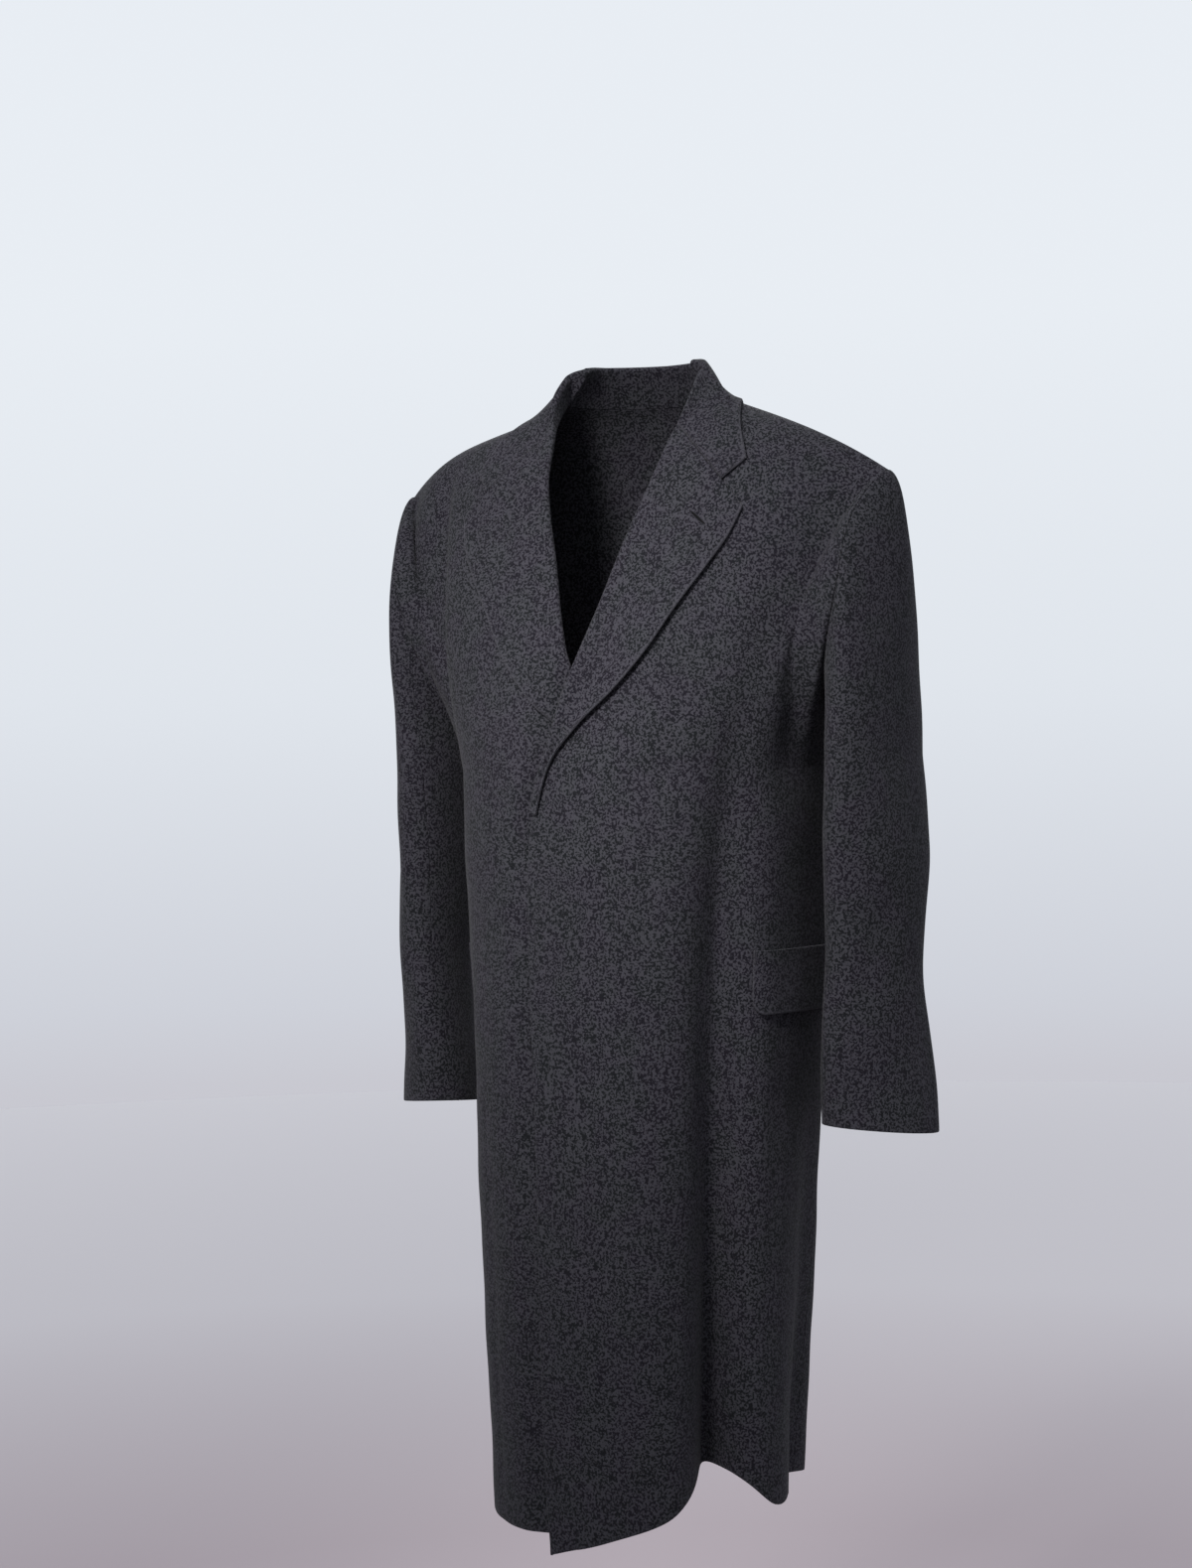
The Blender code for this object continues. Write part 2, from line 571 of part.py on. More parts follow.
def facings(body, places, sleeve, turns):
    """Which way body and sleeve face at every grid point, agreed along the seams they share.

    Also how much each border point has to be drawn inward for the seam gap.
    """
    body_faces = softened(normals(body))
    body_faces[:, -1, 0] = 0
    sleeve_faces = softened(normals(sleeve))
    sleeve_faces[:, [0, -1]] = unit(sleeve_faces[:, :1] + sleeve_faces[:, -1:])

    border = body_faces[-1].copy()
    front = places <= 1
    back = (places >= 4) & (places <= 5)
    armhole = (places >= 1) & (places <= 4)
    armhole_at = np.interp(places[armhole], [1, 2, 3, 4], [0, 180, SIDE_SEAM_TURN, 360])
    from_sleeve = at_turns(armhole_at, turns, sleeve_faces[-1])
    other = border.copy()
    front_share, back_share = places[front], 5 - places[back]  # along the shoulder seam
    for k in range(3):
        other[front, k] = np.interp(front_share, back_share[::-1], border[back][::-1, k])
        other[back, k] = np.interp(back_share, front_share, border[front][:, k])
    other[armhole] = from_sleeve
    met = facing(border, other)
    tip = unit(border[places == 1][0] + border[places == 4][0] + from_sleeve[0])
    met[(places == 1) | (places == 4)] = tip
    met[places > 5] = border[places > 5]
    met[(front | back) & (places > 0) & (places != 5), 1] = 0
    met = unit(met)

    valley = 0 * places
    valley[armhole] = np.maximum(0, -dot(border[armhole], from_sleeve)[:, 0])
    sleeve_met = facing(sleeve_faces[-1], at_turns(turns, armhole_at, border[armhole]))
    sleeve_met[turns == 0] = tip
    sleeve_valley = at_turns(turns, armhole_at, valley[armhole][:, None])[:, 0]
    for faces, border_faces in ((body_faces, met), (sleeve_faces, sleeve_met)):
        faces[-1] = border_faces
        faces[-2] = unit(2 * faces[-1] + faces[-2] + faces[-3])
        faces[-3] = unit(faces[-2] + 2 * faces[-3] + faces[-4])
    body_faces[:, -1, 0] = 0
    return body_faces, valley, sleeve_faces, sleeve_valley


BORDERS = {
    "first": ((slice(None), 0), (slice(None), 1)),
    "last": ((slice(None), -1), (slice(None), -2)),
    "low": (0, 1),
    "high": (-1, -2),
}


def trimmed(grid, faces, sides, valley=None):
    """The grid with the named borders drawn in by half a seam gap.

    Where a border lies in a valley between two pieces it is drawn back behind its face too.
    """
    grid = grid.copy()
    for side in sides.split():
        edge, inner = BORDERS[side]
        run = unit(np.gradient(grid[edge], axis=0))
        inward = grid[inner] - grid[edge]
        inward = unit(inward - run * dot(inward, run))
        if valley is not None and side == "high":
            inward = inward - faces[edge] * valley[:, None]
        grid[edge] += inward * SEAM_GAP / 2
    return grid


# ---------------------------------------------------------------- laid on the body
def tree_of(grid):
    """Search tree of a grid's quads."""
    rows, columns = grid.shape[:2]
    index = np.arange(rows * columns).reshape(rows, columns)
    quads = np.stack([index[:-1, :-1], index[:-1, 1:], index[1:, 1:], index[1:, :-1]], axis=-1)
    return BVHTree.FromPolygons(grid.reshape(-1, 3).tolist(), quads.reshape(-1, 4).tolist())


def seen_from_front(trees, x, z):
    """Place on the finer body that is seen at (x, z) from the front."""
    return np.array(trees[0].ray_cast(Vector((x, -1, z)), Vector((0, 1, 0)))[0])


def raised(trees, point, height, lying=False):
    """The point moved out to at least this height above the body, or to just that if lying."""
    point = np.array(point)
    for tree in trees:
        place, normal, _, _ = tree.find_nearest(Vector(point))
        normal = np.array(normal)
        above = (point - np.array(place)).dot(normal)
        if lying and tree is trees[0]:
            point = np.array(place) + normal * height
        elif above < height:
            point = point + normal * (height - above)
    return point


def turned_row(trees, base, normal, out, lean, stand, roll, spots, stand_steps, lift=0):
    """Cross section of a sheet turned back over a panel: its show side, and where it faces.

    It starts beside the panel's edge at base, on the panel's wrong side, turns up round the edge,
    stands up by stand along lean, turns over and lies on the body through the given spots. Its
    outer edge stands off the body by lift.
    """
    full = stand / COLLAR[-1].stand
    lean = unit(normal * (1 - full) + unit(lean) * full)
    run = np.cross(out, normal)
    lean = unit(lean - run * run.dot(lean))
    over = unit(np.cross(lean, run))
    radius = roll + WALL
    centre = base + normal * roll - out * SEAM_GAP * 2

    points = []
    faces = []
    start_turn = math.atan2(lean.dot(normal), -lean.dot(out))
    for angle in np.linspace(0, start_turn, START_STEPS + 1):
        faces.append(-(math.sin(angle) * out + math.cos(angle) * normal))
        points.append(centre + radius * faces[-1])
    for _ in range(stand_steps):
        points.append(points[-1] + lean * max(stand, SHORT_STAND) / stand_steps)
        faces.append(-over)
    top = points[-1] + over * radius
    turn = math.pi / 2 + (STAND_TURN - math.pi / 2) * full
    for angle in np.linspace(0, turn, TURN_STEPS + 1)[1:]:
        faces.append(-(math.cos(angle) * over - math.sin(angle) * lean))
        points.append(top + radius * faces[-1])

    heading = lean * math.cos(turn) + over * math.sin(turn)
    start = points[-1]
    last = raised(trees, spots[-1], WALL + LAY_GAP, lying=True)
    reach = np.linalg.norm(last - start)
    settling = unit(last - base)
    for k, spot in enumerate(spots):
        share = (k + 1) / len(spots)
        height = WALL + 2 * roll + (LAY_GAP - 2 * roll) * ease(share, 0, SETTLE)
        height += lift * share**2
        flat = raised(trees, spot, height, lying=True)
        bowed = hermite(start, heading * reach, last, settling * reach, share)
        points.append(raised(trees, bowed * full + flat * (1 - full), height))
    rolled = len(faces)
    ways = np.gradient(np.array(points), axis=0)[rolled:]
    for point, way in zip(points[rolled:], ways):
        across = unit(np.cross(way, -run))
        below = np.array(trees[0].find_nearest(Vector(point))[1])
        faces.append(unit(across * full + below * (1 - full)))
    return np.array(points), np.array(faces)


def straight_to(base, end):
    """Places evenly spaced from the roll to the outer edge."""
    return base + (end - base) * np.arange(1, FALL_STEPS + 1)[:, None] / FALL_STEPS


def notch_bend(base, end, notch):
    """How far the places along the gorge stand off the straight way, to run through the notch."""
    before = notch + (notch - base) / (FALL_STEPS - 1)
    bend = straight_to(base, before) - straight_to(base, end)
    bend[-1] = 0
    return bend


def turned_sheet(rows):
    """Grid and facings of a turned sheet from its cross sections."""
    return np.array([points for points, _ in rows]), np.array([faces for _, faces in rows])


def frame_along(points, faces):
    """Facing and direction into the panel along a panel's border."""
    run = unit(np.gradient(points, axis=0))
    out = unit(np.cross(run, faces))
    return unit(faces), out


def evened(ways):
    """Directions along a border averaged with their neighbours, the ends kept."""
    ways = ways.copy()
    for _ in range(FRAME_EVENING):
        ways[1:-1] = ways[:-2] + 2 * ways[1:-1] + ways[2:]
        ways = unit(ways)
    return ways


def gorge(body, faces):
    """The point of the front edge where collar and lapel meet, and where the cloth faces."""
    edge = body[:, 0]
    at = np.interp(GORGE_Z, edge[:, 2], np.arange(len(edge)))
    low = int(at)
    part = at - low
    return low, edge[low] * (1 - part) + edge[low + 1] * part, (
        faces[low, 0] * (1 - part) + faces[low + 1, 0] * part
    )


def lapel_grid(side, body, faces, trees):
    """Lapel of one side: rows from the break up to the gorge, columns from the roll outward."""
    edge = body[:, 0]
    low, gorge_point, gorge_face = gorge(body, faces)
    above = np.flatnonzero(edge[: low + 1, 2] > LAPEL_START_Z)
    before = above[0] - 1
    part = (LAPEL_START_Z - edge[before, 2]) / (edge[above[0], 2] - edge[before, 2])
    start_point = edge[before] * (1 - part) + edge[above[0]] * part
    base = between(np.vstack([start_point, edge[above], gorge_point]), 2)
    faced = between(np.vstack([faces[before, 0], faces[above, 0], gorge_face]), 2)
    normal, out = frame_along(base, faced)
    share = lengths_along(base)
    rolls = smooth(column(LAPEL_ROLL, "t")[:, 0], column(LAPEL_ROLL, side), share)[:, 0]
    spots = column(LAPEL_EDGE, "x", "z")
    ends = smooth(lengths_along(spots), spots, share)
    ends = [seen_from_front(trees, *spot) for spot in ends]
    bend = notch_bend(base[-1], ends[-1], seen_from_front(trees, *NOTCH))
    lift = smooth(column(LAPEL_LIFT, "t")[:, 0], column(LAPEL_LIFT, side), share)[:, 0]
    rows = []
    for k in range(len(base)):
        path = straight_to(base[k], ends[k]) + bend * ease(share[k], 1 - NOTCH_FADE, 1)
        rows.append(
            turned_row(trees, base[k], normal[k], out[k], normal[k], 0, rolls[k], path, 0, lift[k])
        )
    return turned_sheet(rows)


def collar_grid(body, faces, places, trees):
    """Half the collar: rows from the front end round to the centre back."""
    low, gorge_point, gorge_face = gorge(body, faces)
    behind = places > 5
    base = np.vstack([gorge_point, body[low + 1 :, 0], body[-1, behind]])
    faced = np.vstack([gorge_face, faces[low + 1 :, 0], faces[-1, behind]])
    base = between(base, 2)
    normal, out = frame_along(base, between(faced, 2))
    normal, out = evened(normal), evened(out)
    out[-1] = unit(out[-1] * np.array([0, 1, 1]))
    share = lengths_along(base)
    t = column(COLLAR, "t")[:, 0]
    ends = smooth(t, column(COLLAR, "edge_x", "edge_y", "edge_z"), share)
    leans = smooth(t, column(COLLAR, "x", "y", "z"), share)
    stands = smooth(t, column(COLLAR, "stand"), share)[:, 0]
    bend = notch_bend(base[0], ends[0], seen_from_front(trees, *NOTCH))
    rows = []
    for k in range(len(base)):
        path = straight_to(base[k], ends[k]) + bend * (1 - ease(share[k], 0, NOTCH_FADE))
        rows.append(
            turned_row(
                trees, base[k], normal[k], out[k], leans[k], stands[k], COLLAR_ROLL, path,
                STAND_STEPS,
            )
        )
    grid, faces = turned_sheet(rows)
    faces[-1] = unit(faces[-1] * np.array([0, 1, 1]))
    return grid, faces


def flap_grid(trees):
    """Pocket flap: rows from its free lower edge up, its lower front corner rounded."""
    across = np.linspace(0, 1, FLAP_COLUMNS + 1)
    w = FLAP_W[0] + (FLAP_W[1] - FLAP_W[0]) * across**1.3
    places = section_point(w, np.full(len(w), FLAP_Z[1]))
    from_front = lengths_along(places) * np.linalg.norm(np.diff(places, axis=0), axis=1).sum()
    inside = np.clip(1 - from_front / FLAP_CORNER, 0, 1)
    low = FLAP_Z[1] + FLAP_CORNER * (1 - np.sqrt(1 - inside**2))
    up = np.linspace(0, 1, FLAP_ROWS + 1)[:, None]
    z = low + (FLAP_Z[0] - low) * up
    plain = section_point(w + 0 * z, z)
    heights = (WALL + FLAP_GAP + FLAP_LIFT * (1 - up) ** 2)[:, 0]
    grid = np.array(
        [
            [raised(trees, point, height, lying=True) for point in row]
            for row, height in zip(plain, heights)
        ]
    )
    return grid, normals(grid)


# ---------------------------------------------------------------- pieces
def mirrored(grid):
    """The grid on the wearer's right, still facing out."""
    return grid[:, ::-1] * np.array([-1, 1, 1])


def material(cloth):
    made = bpy.data.materials.new(cloth.name)
    made.use_nodes = True
    shader = made.node_tree.nodes["Principled BSDF"]
    shader.inputs["Base Color"].default_value = cloth.colour
    shader.inputs["Roughness"].default_value = cloth.roughness
    shader.inputs["Metallic"].default_value = 0.0
    made.diffuse_color = cloth.colour
    return made


def piece(name, grid, faces, cloth, collection):
    """A cloth piece: a flat grid made two layers thick, then moved to the show side and the back."""
    rows, columns = grid.shape[:2]
    layers = (grid, grid - unit(faces) * WALL)
    shape = bmesh.new()
    bmesh.ops.create_grid(shape, x_segments=columns - 1, y_segments=rows - 1, size=1)
    doubled = bmesh.ops.extrude_face_region(shape, geom=shape.faces[:], use_keep_orig=True)
    for vertex in doubled["geom"]:
        if isinstance(vertex, bmesh.types.BMVert):
            vertex.co.z = 1
    for vertex in shape.verts:
        i = round((vertex.co.y + 1) / 2 * (rows - 1))
        j = round((vertex.co.x + 1) / 2 * (columns - 1))
        vertex.co = layers[round(vertex.co.z)][i, j]
    bmesh.ops.recalc_face_normals(shape, faces=shape.faces[:])
    mesh = bpy.data.meshes.new(name)
    shape.to_mesh(mesh)
    shape.free()
    mesh.shade_smooth()
    mesh.materials.append(cloth)
    made = bpy.data.objects.new(name, mesh)
    collection.objects.link(made)
    return made


def main():
    for obj in list(bpy.data.objects):
        bpy.data.objects.remove(obj)
    coat = bpy.data.collections.new("wool overcoat")
    bpy.context.scene.collection.children.link(coat)
    coating, turned = material(COATING), material(TURNED)

    collar_halves = []
    for side in ("left", "right"):
        body, places = body_grid(side)
        sleeve, turns = sleeve_grid(side)
        body_faces, valley, sleeve_faces, sleeve_valley = facings(body, places, sleeve, turns)
        trees = tree_of(body_grid(side, FINE)[0]), tree_of(body)
        side_seam = int(np.argmin(np.abs(places - 3)))
        fore_seam = int(np.argmin(np.abs(turns - FORE_SEAM_TURN)))
        front = slice(None), slice(None, side_seam + 1)
        back = slice(None), slice(side_seam, None)
        under = slice(None), slice(None, fore_seam + 1)
        top = slice(None), slice(fore_seam, None)
        whole_body = body, body_faces, valley
        whole_sleeve = sleeve, sleeve_faces, sleeve_valley
        cuts = (
            ("front_", whole_body, front, "last high"),
            ("back_", whole_body, back, "first last high"),
            ("sleeve_under_", whole_sleeve, under, "first last high"),
            ("sleeve_top_", whole_sleeve, top, "first last high"),
        )
        made = []
        for name, (grid, faces, depth), cut, sides in cuts:
            shape = trimmed(grid[cut], faces[cut], sides, depth[cut[1]])
            made.append((name + side, shape, faces[cut], coating))
        lapel, lapel_faces = lapel_grid(side, body, body_faces, trees)
        made.append(("lapel_" + side, trimmed(lapel, lapel_faces, "high"), lapel_faces, turned))
        flap, flap_faces = flap_grid(trees)
        made.append(("pocket_flap_" + side, flap, flap_faces, turned))
        collar, collar_faces = collar_grid(body, body_faces, places, trees)
        collar_halves.append((trimmed(collar, collar_faces, "low"), collar_faces))
        for name, grid, faces, cloth in made:
            if side == "right":
                grid, faces = mirrored(grid), mirrored(faces)
            piece(name, grid, faces, cloth, coat)

    (left, left_faces), (right, right_faces) = collar_halves
    across = np.array([-1, 1, 1])
    collar = np.concatenate([left, right[-2::-1] * across])
    collar_faces = np.concatenate([left_faces, right_faces[-2::-1] * across])
    collar[len(left) - 1, :, 0] = 0
    piece("collar", collar, collar_faces, turned, coat)


if __name__ == "__main__":
    main()
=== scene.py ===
import math

import bpy
import numpy as np
from mathutils import Matrix, Vector
from mathutils.bvhtree import BVHTree


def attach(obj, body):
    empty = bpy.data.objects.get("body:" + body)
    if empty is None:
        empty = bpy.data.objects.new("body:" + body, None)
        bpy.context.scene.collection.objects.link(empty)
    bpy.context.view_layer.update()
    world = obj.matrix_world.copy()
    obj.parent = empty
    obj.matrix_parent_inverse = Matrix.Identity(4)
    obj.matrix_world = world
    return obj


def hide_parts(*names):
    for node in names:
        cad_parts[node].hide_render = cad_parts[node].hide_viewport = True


# metres; +X is the wearer's left, -Y the front, +Z up, the origin is the middle of the neck
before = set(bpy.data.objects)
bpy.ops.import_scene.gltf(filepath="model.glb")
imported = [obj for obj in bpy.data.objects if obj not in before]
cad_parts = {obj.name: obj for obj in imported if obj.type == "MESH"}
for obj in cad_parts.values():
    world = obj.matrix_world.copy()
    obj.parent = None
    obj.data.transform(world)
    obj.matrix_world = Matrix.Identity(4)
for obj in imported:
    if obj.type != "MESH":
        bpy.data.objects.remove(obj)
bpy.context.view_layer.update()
print("frame loaded:", len(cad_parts), "solids")

cloth = {
    "wall": 0.003,
    "seamGap": 0.0003,  # left open where two pieces are sewn together
    "layGap": 0.0012,  # left open under a piece that lies on another
    "seamRound": 0.0007,  # how much the cloth rounds over into a seam
    "seamPower": 1.3,  # how late the drop into a seam comes
    "rimSteps": 3,
    "evening": 30,  # rounds of evening out the way the cloth faces
    "borderEvening": 12,  # the same along a border that cloth is turned over
    "agreeOver": (-0.3, 0.3),  # cosine between two pieces: own way below, shared way above
    "borderRows": 14,  # rows over which it turns to what is agreed along a seam
}


# curves, all on whole arrays
def unit(v):
    return v / np.linalg.norm(v, axis=-1, keepdims=True)


def dot(a, b):
    return np.sum(a * b, axis=-1, keepdims=True)


def ease(x, low, high):  # 3s^2 - 2s^3 between low and high, flat outside
    s = np.clip((x - low) / (high - low), 0, 1)
    return s * s * (3 - 2 * s)


def bow(start, startPull, end, endPull, s):  # cubic with given ends and pulls, s from 0 to 1
    return (
        (1 + 2 * s) * (1 - s) ** 2 * start
        + s * (1 - s) ** 2 * startPull
        + s * s * (3 - 2 * s) * end
        + s * s * (s - 1) * endPull
    )


def through(table, at):  # cubic through rows of (place, values...); slopes come from neighbours
    table = np.asarray(table, float)
    places, values = table[:, 0], table[:, 1:]
    at = np.clip(np.asarray(at, float), places[0], places[-1])
    slopes = np.gradient(values, places, axis=0)
    i = np.clip(np.searchsorted(places, at, side="right") - 1, 0, len(places) - 2)
    span = (places[i + 1] - places[i])[..., None]
    s = ((at - places[i]) / (places[i + 1] - places[i]))[..., None]
    return bow(values[i], slopes[i] * span, values[i + 1], slopes[i + 1] * span, s)


def lengthAlong(points):  # arc length at each point of a line
    return np.concatenate([[0], np.cumsum(np.linalg.norm(np.diff(points, axis=0), axis=1))])


def resample(points, count):  # the same line with evenly spaced points
    length = lengthAlong(points)
    at = np.linspace(0, length[-1], count)
    return np.stack([np.interp(at, length, points[:, k]) for k in range(points.shape[1])], axis=-1)


def evened(rows, rounds):  # 1-2-1 averages along a line, its ends kept
    rows = rows.copy()
    for _ in range(rounds):
        rows[1:-1] = (rows[:-2] + 2 * rows[1:-1] + rows[2:]) / 4
    return rows


def gridNormals(grid):  # columns run to the wearer's left and rows run up, so this faces out
    return unit(np.cross(np.gradient(grid, axis=1), np.gradient(grid, axis=0)))


def numbered(grid):  # the number of each of its points
    return np.arange(grid.shape[0] * grid.shape[1]).reshape(grid.shape[:2])


def gridQuads(ids):  # the four corners of each cell in a grid of point numbers
    corners = [ids[:-1, :-1], ids[:-1, 1:], ids[1:, 1:], ids[1:, :-1]]
    return np.stack(corners, axis=-1).reshape(-1, 4)


def ringQuads(ids):  # the same where every row is a closed ring
    return gridQuads(np.vstack([ids.T, ids[:, 0]]))


def placed(name, data):  # a new object at the origin
    made = bpy.data.objects.new(name, data)
    bpy.context.scene.collection.objects.link(made)
    return made


def smoothPiece(name, points, polygons, label, values, material):  # values: a number a point
    mesh = bpy.data.meshes.new(name)
    mesh.from_pydata(points.reshape(-1, 3).tolist(), [], polygons)
    mesh.attributes.new(label, "FLOAT", "POINT").data.foreach_set("value", values.ravel())
    mesh.shade_smooth()
    mesh.materials.append(material)
    return placed(name, mesh)


# body: half an oval section at each height, then bowed up to shoulder, armhole and neck
body = {
    "neckPoint": (0.088, 0.005, 0.0),
    "shoulderPoint": (0.2775, 0.005, -0.0845),
    "shoulderRise": {"left": (0.007, 0.60), "right": (0.015, 0.72)},  # height, where along
    "backNeck": (0.0, 0.078, -0.002),
    "chestZ": -0.370,
    "corners": 0.90,
    "sections": [  # z, half width, front, back
        (-1.144, 0.164, 0.150, 0.122),
        (-0.960, 0.168, 0.158, 0.126),
        (-0.780, 0.173, 0.164, 0.130),
        (-0.560, 0.178, 0.163, 0.130),
        (-0.430, 0.184, 0.159, 0.130),
        (-0.370, 0.188, 0.154, 0.132),
        (-0.300, 0.196, 0.146, 0.133),
    ],
    "frontEdge": [  # z, how far it stands past the centre
        (-1.144, -0.0340),
        (-1.050, -0.0370),
        (-0.900, -0.0355),
        (-0.750, -0.0330),
        (-0.600, -0.0365),
        (-0.470, -0.0385),
        (-0.420, -0.0350),
        (-0.390, -0.0260),
        (-0.345, -0.0115),
        (-0.298, 0.0000),
        (-0.262, 0.0120),
        (-0.216, 0.0275),
        (-0.157, 0.0440),
        (-0.120, 0.0560),
        (-0.084, 0.0660),
        (-0.036, 0.0745),
        (-0.020, 0.0795),
        (0.000, 0.0880),
    ],
    "edgeDepth": [  # z, y above the chest
        (-0.258, -0.125),
        (-0.177, -0.100),
        (-0.120, -0.083),
        (-0.060, -0.057),
        (-0.020, -0.026),
        (0.000, 0.005),
    ],
    "hem": {  # how far round (0 front, 1 back), height
        "left": [
            (-0.03, -1.144), (0.10, -1.116), (0.20, -1.092), (0.31, -1.052),
            (0.43, -1.090), (0.60, -1.080), (0.80, -1.092), (1.00, -1.100),
        ],
        "right": [
            (-0.03, -1.115), (0.10, -1.118), (0.20, -1.118), (0.31, -1.112),
            (0.43, -1.085), (0.60, -1.088), (0.80, -1.094), (1.00, -1.100),
        ],
    },
    "armhole": [  # turn (0 top, 90 front, 180 under, 270 back), x, y, z
        (0, 0.2775, 0.005, -0.0845),
        (45, 0.2630, -0.045, -0.128),
        (90, 0.2550, -0.063, -0.190),
        (135, 0.2300, -0.044, -0.270),
        (180, 0.2120, 0.010, -0.305),
        (225, 0.2320, 0.062, -0.266),
        (270, 0.2510, 0.074, -0.185),
        (315, 0.2640, 0.048, -0.124),
    ],
    "foreSeam": 118,
    "sideSeam": 235,
    "hindSeam": 315,
    "stations": (0, 0.34, 0.53, 0.64, 0.74, 0.83, 1),  # how far round columns start
    "topPulls": [  # stations passed, x, y, z
        (0.0, 0.050, 0.200, 0.130),
        (0.2, 0.010, 0.190, 0.030),
        (0.6, 0.000, 0.170, 0.000),
        (1.0, 0.080, 0.115, 0.045),
        (1.5, 0.060, 0.020, 0.140),
        (2.0, 0.020, 0.000, 0.060),
        (3.0, 0.050, 0.010, 0.130),
        (4.0, 0.090, -0.100, 0.060),
        (4.4, -0.010, -0.200, 0.013),
        (5.0, -0.111, -0.255, 0.050),
        (5.5, -0.011, -0.145, 0.086),
        (6.0, 0.000, -0.105, 0.125),
    ],
    "startPull": (0.7, 1.1),  # at the chest: share of the way out, of the way up
    "backStart": 4,
    "backRounding": (4.2, 4.8, 5.4, 5.9, 4, 216),  # from, to, power of the fade, rounds
    "backRise": 0.3,
    "folds": [  # side, top how far round, z, low how far round, z, width, top and low depth
        ("left", 0.305, -0.36, 0.285, -1.20, 0.059, 0.006, 0.078),
        ("left", 0.10, -0.60, 0.185, -1.20, 0.050, -0.002, -0.006),
        ("left", 0.63, -0.36, 0.630, -1.20, 0.130, -0.014, -0.006),
        ("left", 0.56, -0.60, 0.600, -1.20, 0.100, 0.004, 0.045),
        ("left", 0.80, -0.50, 0.800, -1.20, 0.050, 0.002, 0.014),
        ("right", 0.36, -0.55, 0.430, -1.20, 0.060, 0.004, 0.050),
        ("right", 0.60, -0.60, 0.600, -1.20, 0.050, 0.004, 0.026),
        ("right", 0.80, -0.50, 0.800, -1.20, 0.050, 0.002, 0.016),
        ("left", 0.290, -0.08, 0.440, -0.31, 0.042, 0.002, 0.009),
        ("left", 0.295, -0.14, 0.300, -0.50, 0.040, 0.002, 0.005),
        ("right", 0.26, -0.02, 0.420, -0.30, 0.030, -0.010, -0.004),
        ("right", 0.215, -0.04, 0.370, -0.36, 0.028, 0.008, 0.008),
    ],
    "foldFade": 0.10,
    "foldEnd": 0.35,
    "calm": (0.02, 0.08, 0.05),  # fine creases start, are full, and fade before the back
    "swellSeed": {"left": 1.0, "right": 2.3},
    "probe": 0.01,  # step that finds the way round the body
    "underlap": (0.0070, 0.0052, 0.034),  # dip, more under the lapel, width
    "underlapStart": (-0.52, -0.44),
    "underlapTop": (-0.25, -0.20),
    "underlapEnd": 1.5,  # stations passed
    "frontColumns": 66,
    "armholeColumns": ((118, 42), (235, 42), (315, 30), (360, 18)),
    "shoulderColumns": 30,
    "neckColumns": 30,
    "lowRows": 90,
    "crowding": 1.25,
    "highRows": 66,
}
stationTurns = (0, 180, body["sideSeam"], 360)  # turns round the armhole at stations 1 to 4


def sectionPoint(w, z):  # rounded oval: x = a sin(pi w)^p, y = -b cos(pi w)^p at height z
    sizes = through(body["sections"], z)
    across, ahead = np.sin(math.pi * w), np.cos(math.pi * w)
    depth = np.where(w < 0.5, sizes[..., 1], sizes[..., 2])
    x = sizes[..., 0] * np.sign(across) * np.abs(across) ** body["corners"]
    y = -depth * np.sign(ahead) * np.abs(ahead) ** body["corners"]
    return np.stack([x, y, z + 0 * w], axis=-1)


def edgeX(z):  # how far the front edge stands past the centre at height z
    return through(body["frontEdge"], z)[..., 0]


def armholePoint(turn):  # closed cubic through the armhole's eight points
    ring = np.array(body["armhole"], float)
    turns = (360, 0, 0, 0)
    ring = np.vstack([ring[-2:] - turns, ring, ring[:3] + turns])
    return through(ring, turn)


def armholeTurns():  # turn of each column round the armhole, even between two seams
    turns, start = [0.0], 0
    for end, count in body["armholeColumns"]:
        turns += list(np.linspace(start, end, count + 1)[1:])
        start = end
    return np.array(turns)


def shoulderSeam(share, side):  # straight from neck to shoulder point, lifted by its padding
    share = share[..., None]
    line = np.array(body["neckPoint"]) * (1 - share) + np.array(body["shoulderPoint"]) * share
    height, at = body["shoulderRise"][side]
    place = share ** (math.log(0.5) / math.log(at))
    return line + height * 4 * place * (1 - place) * np.array([0, 0, 1])


def backNeckline(share):  # quarter of an ellipse from the neck point to the centre back
    angle = share * math.pi / 2
    point, back = body["neckPoint"], body["backNeck"]
    x = point[0] * np.cos(angle)
    y = point[1] + (back[1] - point[1]) * np.sin(angle)
    return np.stack([x, y, back[2] * np.sin(angle)], axis=-1)


